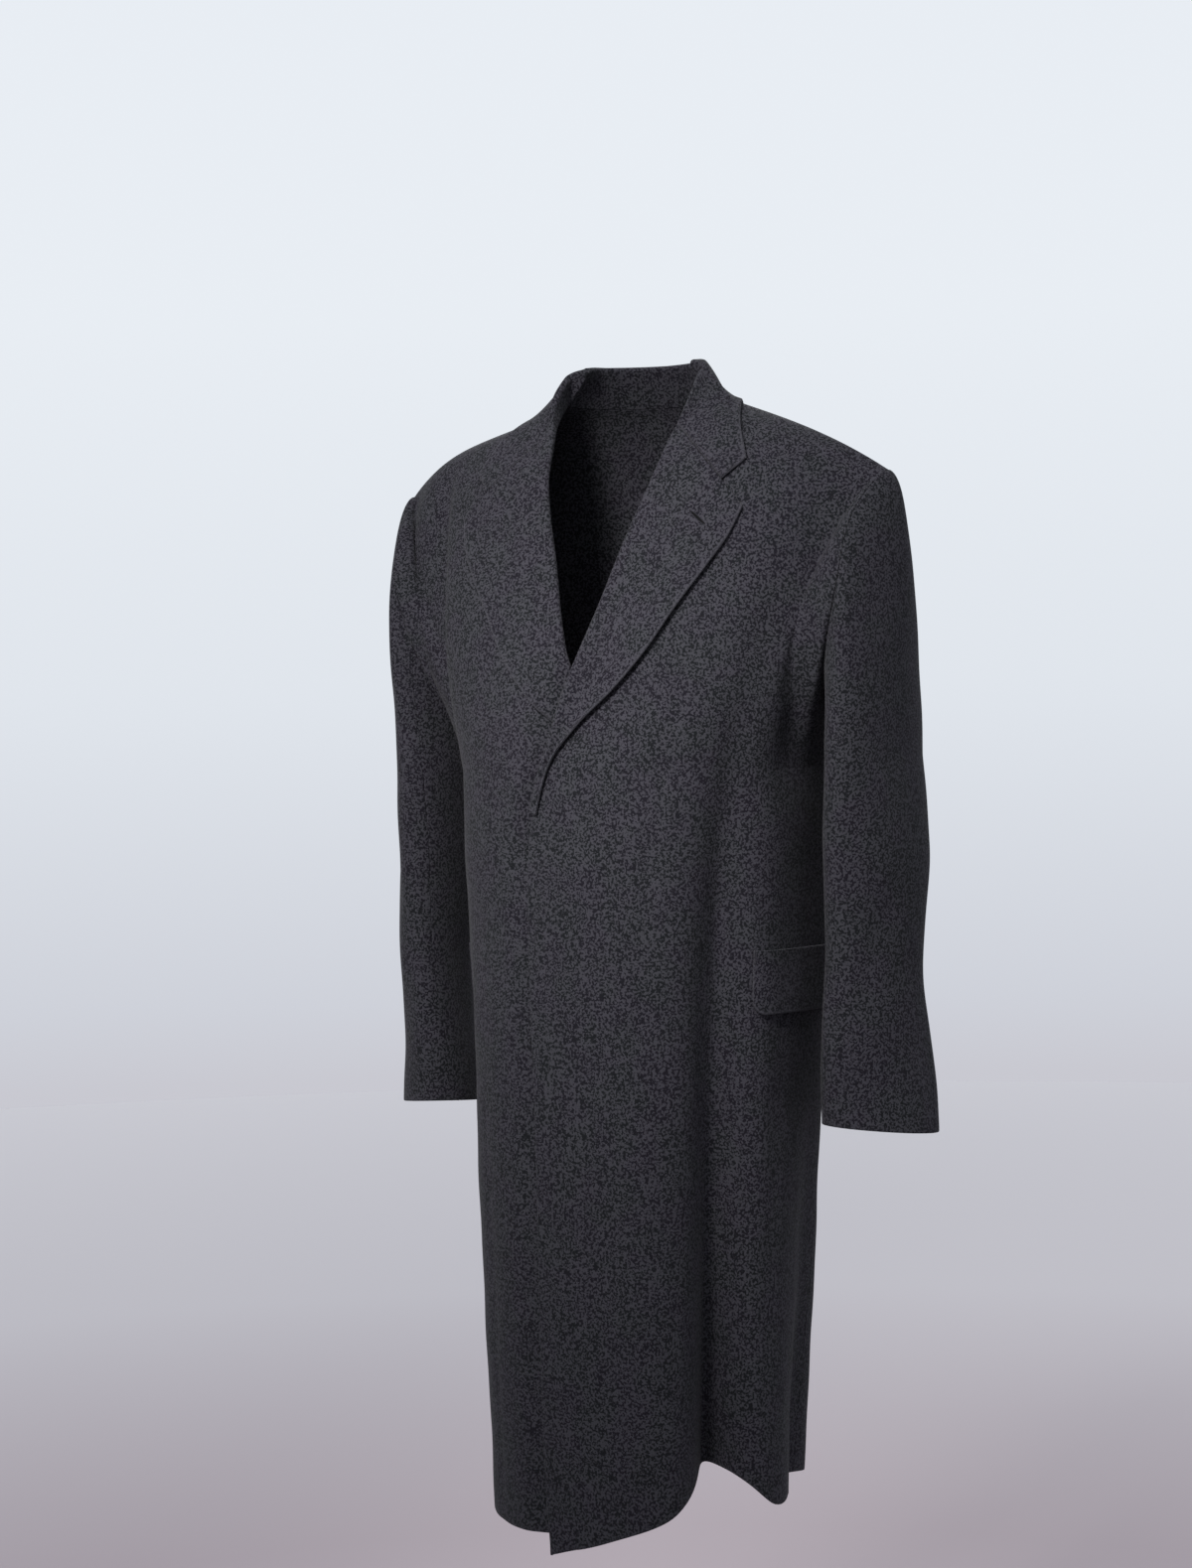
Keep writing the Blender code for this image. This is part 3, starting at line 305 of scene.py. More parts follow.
def halfBody(side):
    # grid (rows, columns, 3): oval sections up to the chest, then cubics up to the top border;
    # with it how far round each point is, and the stations each column has passed
    armhole = np.interp(armholeTurns(), stationTurns, (1, 2, 3, 4))
    places = np.concatenate([
        np.linspace(0, 1, body["frontColumns"] + 1)[:-1],
        armhole[:-1],
        np.linspace(4, 5, body["shoulderColumns"] + 1)[:-1],
        np.linspace(5, 6, body["neckColumns"] + 1),
    ])
    low = 1 - np.linspace(1, 0, body["lowRows"] + 1) ** body["crowding"]
    high = np.linspace(0, 1, body["highRows"] + 1)[1:]
    chestW = np.interp(places, range(7), body["stations"])
    lead = np.clip(1 - places, 0, 1)
    hemZ = through(body["hem"][side], chestW)[..., 0]
    z = hemZ + (body["chestZ"] - hemZ) * low[:, None]
    halfWidth = through(body["sections"], z)[..., 0]
    share = edgeX(z) / halfWidth
    edgeW = np.arcsin(np.sign(share) * np.abs(share) ** (1 / body["corners"])) / math.pi
    w = chestW + lead * edgeW
    lower = sectionPoint(w, z)

    turn = np.interp(places, (1, 2, 3, 4), stationTurns)
    ahead = shoulderSeam(np.clip(places, 0, 1), side)
    back = shoulderSeam(np.clip(5 - places, 0, 1), side)
    neck = backNeckline(np.clip(places - 5, 0, 1))
    at = places[:, None]
    end = np.select([at <= 1, at < 4, at < 5], [ahead, armholePoint(turn), back], neck)
    start = lower[-1]
    pulls = np.array(body["topPulls"], float)
    ends = np.stack([[np.interp(at, places, end[:, k]) for k in range(3)] for at in pulls[:, 0]])
    shortOf = through(np.column_stack([pulls[:, 0], ends - pulls[:, 1:] / 3]), places)
    behind = (places >= body["backStart"])[:, None]
    endPull = np.where(behind, 3 * (end - shortOf), through(pulls, places))
    rise = end[:, 2] - body["chestZ"]
    outward, upward = body["startPull"]
    startPull = np.stack([outward * (end - start)[:, 0], 0 * rise, upward * rise], axis=-1)
    upper = bow(start, startPull, end, endPull, high[:, None, None])
    first, full, less, last, fade, rounds = body["backRounding"]
    near = ease(places, first, full) * (1 - ease(places, less, last))
    rising = ease(high, 0, body["backRise"]) * (1 - high**fade)
    weight = near[None, 1:-1, None] * rising[:, None, None] / 2
    for _ in range(rounds):
        upper[:, 1:-1] += weight * ((upper[:, :-2] + upper[:, 2:]) / 2 - upper[:, 1:-1])
    depth = [(body["chestZ"], start[0, 1])] + body["edgeDepth"]
    edge = upper[:, 0]
    wanted = np.stack([edgeX(edge[:, 2]), through(depth, edge[:, 2])[:, 0]], axis=-1)
    upper[..., :2] += (lead**2)[None, :, None] * (wanted - edge[:, :2])[:, None, :]
    w = np.concatenate([w, np.repeat(w[-1:], len(high), axis=0)])
    return np.concatenate([lower, upper]), w, places


# soft creases: side, how far round, z of their middle, slant, length, width, depth
creases = {
    "body": [
        ("left", 0.150, -0.50, 0.10, 0.20, 0.020, 0.0012),
        ("left", 0.260, -0.62, -0.08, 0.16, 0.018, 0.0010),
        ("left", 0.055, -0.95, 0.02, 0.26, 0.022, 0.0014),
        ("left", 0.130, -0.86, 0.06, 0.22, 0.020, -0.0012),
        ("left", 0.420, -0.78, 0.10, 0.20, 0.025, 0.0018),
        ("left", 0.700, -0.40, -0.20, 0.16, 0.022, 0.0030),
        ("left", 0.860, -0.62, 0.05, 0.28, 0.025, 0.0022),
        ("left", 0.900, -0.26, -0.30, 0.10, 0.020, 0.0018),
        ("right", 0.120, -0.62, 0.05, 0.20, 0.018, 0.0010),
        ("right", 0.200, -0.90, -0.04, 0.26, 0.020, 0.0014),
        ("right", 0.300, -0.50, 0.12, 0.18, 0.020, 0.0016),
        ("right", 0.690, -0.42, -0.16, 0.18, 0.020, 0.0034),
        ("right", 0.840, -0.70, 0.03, 0.30, 0.026, 0.0020),
        ("right", 0.910, -0.22, -0.26, 0.09, 0.020, 0.0014),
    ],
    "sleeve": [  # side, turn, z, slant in degrees a metre, length, width in degrees, depth
        ("left", 60, -0.44, 260, 0.07, 18, 0.0022),
        ("left", 30, -0.54, -300, 0.08, 16, 0.0018),
        ("left", 75, -0.62, 360, 0.06, 15, 0.0024),
        ("left", 250, -0.42, 300, 0.06, 20, 0.0030),
        ("left", 200, -0.50, -260, 0.06, 20, 0.0024),
        ("left", 350, -0.24, 120, 0.06, 15, 0.0012),
        ("right", 40, -0.46, -260, 0.07, 18, 0.0024),
        ("right", 70, -0.58, 320, 0.07, 15, 0.0020),
        ("right", 255, -0.44, -300, 0.06, 20, 0.0030),
        ("right", 300, -0.56, 260, 0.07, 18, 0.0020),
        ("right", 10, -0.30, 140, 0.07, 15, 0.0016),
    ],
    "swell": 0.00035,  # slow unevenness all over
    "waves": [  # radians a metre along x, y and z, share of the seed, size
        (41, 0, 23, 1, 1.0),
        (0, 33, -37, 2, 1.0),
        (29, 29, 19, 3, 1.0),
        (-61, 0, 83, 1, 0.6),
    ],
}


def creaseDepth(part, side, around, z, whole=None):  # sum of gaussians, each along a slanted line
    depth = 0 * around
    for name, middle, height, slant, length, width, deep in creases[part]:
        if name == side:
            off = around - middle - slant * (z - height)
            if whole:
                off = (off + whole / 2) % whole - whole / 2
            depth = depth + deep * np.exp(-((off / width) ** 2) - ((z - height) / length) ** 2)
    return depth


def swell(points, seed):  # sum of slow sine waves, each in its own direction
    x, y, z = np.moveaxis(points, -1, 0)
    wave = 0 * x
    for alongX, alongY, alongZ, share, size in creases["waves"]:
        wave = wave + size * np.sin(alongX * x + alongY * y + alongZ * z + share * seed)
    return creases["swell"] * wave


def foldDepth(side, w, z):  # long folds: each a trough or ridge along a slanted line
    depth = 0 * w
    hem = body["sections"][0][0]
    for name, topW, topZ, lowW, lowZ, width, topDepth, lowDepth in body["folds"]:
        if name != side:
            continue
        along = np.clip((z - topZ) / (lowZ - topZ), 0, 1)
        size = topDepth + (lowDepth - topDepth) * along
        size = size * ease(-z, -topZ - body["foldFade"], -topZ + body["foldFade"])
        if lowZ > hem:
            size = size * ease(z, lowZ - body["foldFade"], lowZ)
        depth = depth + size * np.exp(-(((w - topW - (lowW - topW) * along) / width) ** 2))
    return depth


def bodyGrid(side):  # the half body with folds, fine creases and the dip under the other front
    grid, w, places = halfBody(side)
    left = np.ones(len(grid))
    left[body["lowRows"]:] = np.linspace(1, 0, len(grid) - body["lowRows"])
    z = grid[..., 2]
    fade = ease(left, 0, body["foldEnd"])[:, None]
    depth = foldDepth(side, w, z) * fade
    fine = creaseDepth("body", side, w, z) + swell(grid, body["swellSeed"][side])
    first, full, last = body["calm"]
    calm = ease(w, first, full) * ease(1 - w, 0.0, last)
    depth = depth + fine * fade * calm
    if side == "right":
        plain, more, run = body["underlap"]
        under = 1 - ease(grid[..., 0], -edgeX(z), -edgeX(z) + run)
        under = under * (1 - ease(z, *body["underlapTop"]))
        dip = plain + more * ease(z, *body["underlapStart"])
        depth = depth + (places < body["underlapEnd"]) * under * dip
    near = body["probe"]
    chest = body["chestZ"] + 0 * w
    around = sectionPoint(w + near, chest) - sectionPoint(w - near, chest)
    out = unit(np.cross(around, (0, 0, 1)))
    return grid - out * depth[..., None], places


# sleeve: turned ovals down the arm, bowed up to the armhole
sleeve = {
    "rings": {  # z, how far out, y, fore, side, turn
        "left": [
            (-0.722, 0.2520, 0.016, 0.0615, 0.042, 33),
            (-0.660, 0.2515, 0.014, 0.0635, 0.037, 25),
            (-0.570, 0.2495, 0.012, 0.0620, 0.034, 14),
            (-0.450, 0.2530, 0.016, 0.0740, 0.037, 8),
            (-0.360, 0.2520, 0.016, 0.0810, 0.034, 0),
        ],
        "right": [
            (-0.722, 0.2640, 0.016, 0.0615, 0.042, 33),
            (-0.660, 0.2640, 0.014, 0.0635, 0.037, 25),
            (-0.570, 0.2645, 0.012, 0.0620, 0.034, 14),
            (-0.450, 0.2585, 0.016, 0.0740, 0.037, 8),
            (-0.360, 0.2490, 0.016, 0.0810, 0.034, 0),
        ],
    },
    "slant": 0.007,  # how much higher the cuff is in front
    "swellSeed": {"left": 4.1, "right": 5.2},
    "creaseEnd": 0.5,
    "startPull": 1.1,  # at the top ring: share of the way up
    "headPulls": [  # turn, x, y, z
        (0, 0.074, 0.000, -0.034),
        (45, 0.048, -0.020, -0.090),
        (90, 0.020, -0.020, -0.170),
        (135, 0.010, -0.010, -0.100),
        (180, 0.004, 0.000, -0.050),
        (225, 0.010, 0.020, -0.100),
        (270, 0.010, 0.015, -0.170),
        (315, 0.045, 0.015, -0.090),
    ],
    "headRows": 42,
    "armRows": 66,
}


def sleeveGrid(side):  # columns run from the back seam round under the arm, rows from the cuff up
    turns = armholeTurns()
    first = int(np.argmin(np.abs(turns - body["hindSeam"])))
    turns = np.concatenate([turns[: first + 1][::-1], turns[first:-1][::-1] - 360])
    rings = sleeve["rings"][side]
    cuffZ = rings[0][0] + sleeve["slant"] * np.sin(np.radians(turns))
    arm = np.linspace(0, 1, sleeve["armRows"] + 1)[:, None]
    z = cuffZ + (rings[-1][0] - cuffZ) * arm
    middleX, middleY, fore, across, twist = np.moveaxis(through(rings, z), -1, 0)
    angle, twist = np.radians(turns), np.radians(twist)
    out, ahead = across * np.cos(angle), -fore * np.sin(angle)
    x = middleX + out * np.cos(twist) + ahead * np.sin(twist)
    y = middleY - out * np.sin(twist) + ahead * np.cos(twist)
    lower = np.stack([x, y, z], axis=-1)
    end = armholePoint(turns % 360)
    pulls = np.array(sleeve["headPulls"], float)
    pulls = np.vstack([pulls, pulls[:2] + (360, 0, 0, 0)])
    startPull = np.array([0, 0, sleeve["startPull"]]) * (end - lower[-1])[:, 2:]
    head = np.linspace(0, 1, sleeve["headRows"] + 1)[1:, None, None]
    upper = bow(lower[-1], startPull, end, -through(pulls, turns % 360), head)
    grid = np.concatenate([lower, upper])
    left = np.ones(len(grid))
    left[sleeve["armRows"]:] = np.linspace(1, 0, sleeve["headRows"] + 1)
    depth = creaseDepth("sleeve", side, turns + 0 * grid[..., 2], grid[..., 2], 360)
    depth = depth + swell(grid, sleeve["swellSeed"][side])
    depth = depth * ease(left, 0, sleeve["creaseEnd"])[:, None]
    depth[:, -1] = depth[:, 0]
    return grid - gridNormals(grid) * depth[..., None], turns


# which way the cloth faces, agreed along the seams
def turnsAt(at, turns, values):  # values round the armhole at other turns
    columns = range(values.shape[1])
    return np.stack([np.interp(at, turns, values[:, k], period=360) for k in columns], axis=-1)


def agreed(own, other):  # shared where two pieces meet flat or over a ridge
    return unit(own + ease(dot(own, other), *cloth["agreeOver"]) * other)


def evenedFaces(faces):  # 1-2-1 averages both ways over a grid, its borders kept
    for _ in range(cloth["evening"]):
        faces[1:-1] = faces[:-2] + 2 * faces[1:-1] + faces[2:]
        faces[:, 1:-1] = faces[:, :-2] + 2 * faces[:, 1:-1] + faces[:, 2:]
        faces = unit(faces)
    return faces


def facings(bodyPoints, places, sleevePoints, turns):
    # own normals inside each grid, turned over the last rows to what neighbours agree on; body and
    # sleeve meet at the armhole, front and back at the shoulder seam, all three at its tip
    bodyFaces = evenedFaces(gridNormals(bodyPoints))
    sleeveFaces = evenedFaces(gridNormals(sleevePoints))
    sleeveFaces[:, [0, -1]] = unit(sleeveFaces[:, :1] + sleeveFaces[:, -1:])
    border = bodyFaces[-1].copy()
    armhole = (places >= 1) & (places <= 4)
    armholeAt = np.interp(places[armhole], (1, 2, 3, 4), stationTurns)
    fromSleeve = turnsAt(armholeAt, turns, sleeveFaces[-1])
    other = border.copy()
    ahead, behind = places <= 1, (places >= 4) & (places <= 5)
    frontShare, backShare = places[ahead], 5 - places[behind]
    frontFaces, backFaces = border[ahead], border[behind]
    for k in range(3):
        other[ahead, k] = np.interp(frontShare, backShare[::-1], backFaces[::-1, k])
        other[behind, k] = np.interp(backShare, frontShare, frontFaces[:, k])
    other[armhole] = fromSleeve
    met = agreed(border, other)
    met[places > 5] = border[places > 5]
    tip = unit(border[places == 1][0] + border[places == 4][0] + fromSleeve[0])
    met[(places == 1) | (places == 4)] = tip
    sleeveMet = agreed(sleeveFaces[-1], turnsAt(turns, armholeAt, border[armhole]))
    sleeveMet[turns == 0] = tip
    rows = cloth["borderRows"]
    near = ease(np.arange(rows + 1) / rows, 0, 1)[:, None, None]
    for faces, borderFaces in ((bodyFaces, met), (sleeveFaces, sleeveMet)):
        faces[-rows - 1:] = unit(faces[-rows - 1:] * (1 - near) + borderFaces * near)
    bodyFaces[:, -1, 0] = 0
    return unit(bodyFaces), sleeveFaces


# a cloth piece: show side and wrong side with rounded borders
rimAngles = np.linspace(0, math.pi / 2, cloth["rimSteps"] + 1)[1:]
halfWall = cloth["wall"] / 2
rimOut = {"free": halfWall * np.sin(rimAngles), "seam": cloth["seamRound"] * np.sin(rimAngles)}
rimDrop = {
    "free": halfWall * (1 - np.cos(rimAngles)),
    "seam": cloth["seamRound"] * (1 - np.cos(rimAngles)) ** cloth["seamPower"],
}
rimDrop["seam"][-1] = halfWall
rimOut["seam"][-1] += cloth["seamGap"]  # the walls touch under the seam, so no light comes through
borderSlices = {
    "first": ((slice(None), 0), (slice(None), 1)),
    "last": ((slice(None), -1), (slice(None), -2)),
    "low": (0, 1),
    "high": (-1, -2),
}


def borderOut(grid, side):  # unit direction out of the piece along one border
    edge, inner = borderSlices[side]
    run = unit(np.gradient(grid[edge], axis=0))
    out = grid[edge] - grid[inner]
    return unit(out - run * dot(out, run))


def freeDistance(grid, kinds):  # how far each point is from the nearest free border
    across = np.linalg.norm(np.diff(grid, axis=1), axis=2)
    along = np.linalg.norm(np.diff(grid, axis=0), axis=2)
    fromFirst = np.pad(np.cumsum(across, axis=1), ((0, 0), (1, 0)))
    fromLow = np.pad(np.cumsum(along, axis=0), ((1, 0), (0, 0)))
    far = {
        "first": fromFirst,
        "last": fromFirst[:, -1:] - fromFirst,
        "low": fromLow,
        "high": fromLow[-1:] - fromLow,
    }
    return np.minimum.reduce([far[side] for side in far if kinds[side] == "free"])


def shellPiece(name, grid, faces, kinds, material, node):
    # the grid and the same grid one wall below it, joined by rims: quarter circles of half a wall
    # where a border is free, smaller ones that drop late where it is a seam
    faces = unit(faces)
    steps = cloth["rimSteps"]
    inset = {"free": halfWall, "seam": cloth["seamRound"] + cloth["seamGap"] / 2}
    nearFree = np.pad(freeDistance(grid, kinds), steps, mode="edge")
    outs = {side: borderOut(grid, side) for side in borderSlices}
    grid = grid.copy()
    for side, (edge, _) in borderSlices.items():
        grid[edge] -= outs[side] * inset[kinds[side]]
    pad = ((steps, steps), (steps, steps), (0, 0))
    points = np.pad(grid, pad, mode="edge")
    facing = np.pad(faces, pad, mode="edge")
    drop = np.zeros(points.shape[:2])
    for side, out in outs.items():
        kind = kinds[side]
        spread = np.pad(out, ((steps, steps), (0, 0)), mode="edge")
        for k in range(steps):
            at = steps - 1 - k if side in ("first", "low") else k - steps
            where = at if side in ("low", "high") else (slice(None), at)
            points[where] += spread * rimOut[kind][k]
            drop[where] = np.maximum(drop[where], rimDrop[kind][k])
    show = points - facing * drop[..., None]
    wrong = points - facing * (cloth["wall"] - drop[..., None])
    index = numbered(drop)
    back = index.copy()
    back[1:-1, 1:-1] = numbered(drop[1:-1, 1:-1]) + drop.size
    vertices = np.vstack([show.reshape(-1, 3), wrong[1:-1, 1:-1].reshape(-1, 3)])
    polygons = np.vstack([gridQuads(index), gridQuads(back)[:, ::-1]]).tolist()
    stored = np.concatenate([nearFree.ravel(), nearFree[1:-1, 1:-1].ravel()])
    piece = smoothPiece(name, vertices, polygons, "nearFree", stored, material)
    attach(piece, "root")
    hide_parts(node)
    return piece


# pieces laid on the body
def searchTree(grid):
    return BVHTree.FromPolygons(grid.reshape(-1, 3).tolist(), gridQuads(numbered(grid)).tolist())


def nearestOn(tree, points):  # nearest place and its normal for each of the points
    found = [tree.find_nearest(Vector(point))[:2] for point in points.reshape(-1, 3)]
    places = np.array([place for place, _ in found]).reshape(points.shape)
    return places, np.array([normal for _, normal in found]).reshape(points.shape)


def seenFromFront(tree, spots):  # the first place met from the front at each (x, z)
    ahead = Vector((0, 1, 0))
    return np.array([tree.ray_cast(Vector((x, -1, z)), ahead)[0] for x, z in spots])


def raised(tree, points, height, lying):  # moved out to a height, or to at least that height
    places, normals = nearestOn(tree, points)
    above = dot(points - places, normals)
    if lying:
        return places + normals * height
    return points + normals * np.maximum(height - above, 0)


turnedOver = {
    "notch": (0.135, -0.091),
    "gorgeZ": -0.036,
    "notchShare": 5 / 6,
    "notchFade": 0.20,
    "settle": 0.6,
    "fullStand": 0.039,
    "shortStand": 0.0004,
    "standTurn": math.radians(168),
    "startSteps": 4,
    "turnSteps": 8,
    "fallSteps": 30,
}


def turnedSheet(tree, base, normal, out, lean, stand, roll, paths, standSteps, lift=0):
    # each row starts on the wrong side of the panel's edge, turns up round it, stands up along
    # lean, turns over on a radius of roll + wall and lies on the body along its path, its outer
    # edge lift above it
    full = (stand / turnedOver["fullStand"])[:, None]
    lean = unit(normal * (1 - full) + unit(lean) * full)
    run = np.cross(out, normal)
    lean = unit(lean - run * dot(run, lean))
    over = unit(np.cross(lean, run))
    roll = roll[:, None]
    radius = roll + cloth["wall"]
    centre = base + normal * roll - out * cloth["seamGap"] * 2
    startTurn = np.arctan2(dot(lean, normal), -dot(lean, out))
    points, faces = [], []
    for share in np.linspace(0, 1, turnedOver["startSteps"] + 1):
        angle = startTurn * share
        faces.append(-(np.sin(angle) * out + np.cos(angle) * normal))
        points.append(centre + radius * faces[-1])
    for _ in range(standSteps):
        step = np.maximum(stand, turnedOver["shortStand"])[:, None] / standSteps
        points.append(points[-1] + lean * step)
        faces.append(-over)
    top = points[-1] + over * radius
    turn = math.pi / 2 + (turnedOver["standTurn"] - math.pi / 2) * full
    for share in np.linspace(0, 1, turnedOver["turnSteps"] + 1)[1:]:
        angle = turn * share
        faces.append(-(np.cos(angle) * over - np.sin(angle) * lean))
        points.append(top + radius * faces[-1])
    heading = lean * np.cos(turn) + over * np.sin(turn)
    start = points[-1]
    lying = cloth["wall"] + cloth["layGap"]
    last = raised(tree, paths[:, -1], lying, True)
    reach = np.linalg.norm(last - start, axis=1, keepdims=True)
    settling = unit(last - base)
    falls = paths.shape[1]
    for k in range(falls):
        share = (k + 1) / falls
        settled = ease(share, 0, turnedOver["settle"])
        height = cloth["wall"] + 2 * roll + (cloth["layGap"] - 2 * roll) * settled
        height = height + lift * share**2
        flat = raised(tree, paths[:, k], height, True)
        bowed = bow(start, heading * reach, last, settling * reach, share)
        points.append(raised(tree, bowed * full + flat * (1 - full), height, False))
    grid = np.stack(points, axis=1)
    laid = gridFaces(grid, tree, full)[:, len(faces):]
    return grid, np.concatenate([np.stack(faces, axis=1), laid], axis=1)


def gridFaces(grid, tree, full):
    # its own surface's way where full is 1, the way of the body under it where full is 0
    own = -unit(np.cross(np.gradient(grid, axis=0), np.gradient(grid, axis=1)))
    below = nearestOn(tree, grid)[1]
    own = own * np.where(dot(own, below) < 0, -1, 1)
    return unit(own * full[:, None] + below * (1 - full[:, None]))


def pathsTo(tree, base, ends, bend):  # straight ways out, drawn towards the notch where bend is 1
    notch = seenFromFront(tree, [turnedOver["notch"]])[0]
    share = (np.arange(turnedOver["fallSteps"]) + 1)[None, :, None] / turnedOver["fallSteps"]
    straight = base[:, None] + (ends - base)[:, None] * share
    at = turnedOver["notchShare"]
    before = base[:, None] + (notch - base)[:, None] * share / at
    after = notch + (ends[:, None] - notch) * (share - at) / (1 - at)
    bent = np.where(share <= at, before, after)
    return straight + (bent - straight) * bend[:, None, None]


lapel = {
    "startZ": -0.408,
    "rows": 84,
    "edge": [  # x, z of the outer edge, from the break up to the corner
        (-0.0262, -0.412),
        (-0.0195, -0.385),
        (-0.0095, -0.358),
        (0.0165, -0.326),
        (0.0507, -0.294),
        (0.0830, -0.256),
        (0.1105, -0.211),
        (0.1345, -0.174),
        (0.1515, -0.145),
        (0.1605, -0.1185),
    ],
    "roll": {  # how far up, half the space inside the roll
        "left": [(0, 0.0006), (0.25, 0.0035), (0.55, 0.0025), (0.80, 0.0012), (1, 0.0006)],
        "right": [(0, 0.0003), (0.25, 0.0003), (0.55, 0.0006), (0.80, 0.0012), (1, 0.0006)],
    },
    "lift": {  # how far up, how far the outer edge stands off
        "left": [(0, 0), (0.3, 0.0028), (0.5, 0.0035), (0.75, 0.0026), (1, 0)],
        "right": [(0, 0), (0.3, 0), (0.5, 0.0004), (0.75, 0.0020), (1, 0)],
    },
}
collar = {
    "rows": 84,
    "edge": [  # how far round, x, y, z of the outer edge
        (0.00, 0.1555, -0.0545, -0.0705),
        (0.18, 0.1380, -0.0330, -0.0380),
        (0.40, 0.1150, 0.0100, -0.0100),
        (0.70, 0.0800, 0.0780, -0.0150),
        (1.00, 0.0000, 0.1040, -0.0200),
    ],
    "stand": [(0.00, 0.000), (0.18, 0.012), (0.40, 0.037), (0.70, 0.039), (1.00, 0.039)],
    "lean": [
        (0.00, -0.10, -0.80, 0.60),
        (0.18, -0.45, -0.40, 0.80),
        (0.40, -0.62, -0.05, 0.78),
        (0.70, -0.32, -0.32, 0.88),
        (1.00, 0.00, -0.42, 0.90),
    ],
    "roll": 0.0006,
    "standSteps": 8,
    "evening": 60,
}


def edgeBetween(points, faces, lowZ, highZ):  # the stretch of the front edge between two heights
    edge = np.hstack([points[:, 0], faces[:, 0]])
    z = edge[:, 2]
    rising = np.arange(len(z))
    at = np.interp([lowZ, highZ], z, rising)
    whole = np.concatenate([[at[0]], rising[(rising > at[0]) & (rising < at[1])], [at[1]]])
    return np.stack([np.interp(whole, rising, edge[:, k]) for k in range(6)], axis=-1)


def borderFrame(line):  # facing and way into the panel at each point of a border
    points, faces = line[:, :3], line[:, 3:]
    out = unit(np.cross(unit(np.gradient(points, axis=0)), faces))
    return points, unit(faces), unit(evened(out, cloth["borderEvening"]))


def lapelGrid(side, points, faces, tree):  # turned over the front edge, with no stand
    line = edgeBetween(points, faces, lapel["startZ"], turnedOver["gorgeZ"])
    base, normal, out = borderFrame(resample(line, lapel["rows"] + 1))
    share = np.linspace(0, 1, lapel["rows"] + 1)
    roll = through(lapel["roll"][side], share)[:, 0]
    spots = np.array(lapel["edge"])
    length = lengthAlong(spots)
    spots = through(np.column_stack([length / length[-1], spots]), share)
    bend = ease(share, 1 - turnedOver["notchFade"], 1)
    paths = pathsTo(tree, base, seenFromFront(tree, spots), bend)
    lift = through(lapel["lift"][side], share)
    return turnedSheet(tree, base, normal, out, normal, 0 * share, roll, paths, 0, lift)


def collarGrid(points, faces, places, tree):  # half of it, its stand growing towards the back
    front = edgeBetween(points, faces, turnedOver["gorgeZ"], points[-1, 0, 2])
    behind = places > 5
    back = np.hstack([points[-1, behind], faces[-1, behind]])
    line = resample(np.vstack([front, back]), collar["rows"] + 1)
    base, normal, out = borderFrame(line)
    normal = unit(evened(normal, collar["evening"]))
    out = unit(evened(out, collar["evening"]))
    out[-1] = unit(out[-1] * (0, 1, 1))
    share = np.linspace(0, 1, collar["rows"] + 1)
    ends = through(collar["edge"], share)
    lean = through(collar["lean"], share)
    stand = through(collar["stand"], share)[:, 0]
    bend = 1 - ease(share, 0, turnedOver["notchFade"])
    paths = pathsTo(tree, base, ends, bend)
    roll = collar["roll"] + 0 * share
    return turnedSheet(tree, base, normal, out, lean, stand, roll, paths, collar["standSteps"])


flap = {
    "around": (0.366, 0.615),
    "crowding": 1.3,  # columns closer together towards the front
    "z": (-0.545, -0.607),
    "gap": 0.0008,
    "lift": 0.0025,  # how much more its free lower edge stands off
    "corner": 0.014,
    "columns": 60,
    "rows": 24,
}


def flapGrid(tree):  # a strip round the hip, its lower front corner rounded
    across = np.linspace(0, 1, flap["columns"] + 1)
    first, last = flap["around"]
    topZ, lowZ = flap["z"]
    w = first + (last - first) * across ** flap["crowding"]
    fromFront = lengthAlong(sectionPoint(w, np.full(len(w), lowZ)))
    inside = np.clip(1 - fromFront / flap["corner"], 0, 1)
    low = lowZ + flap["corner"] * (1 - np.sqrt(1 - inside**2))
    up = np.linspace(0, 1, flap["rows"] + 1)[:, None]
    z = low + (topZ - low) * up
    height = cloth["wall"] + flap["gap"] + flap["lift"] * (1 - up[..., None]) ** 2
    grid = raised(tree, sectionPoint(w + 0 * z, z), height, True)
    return grid, gridNormals(grid)


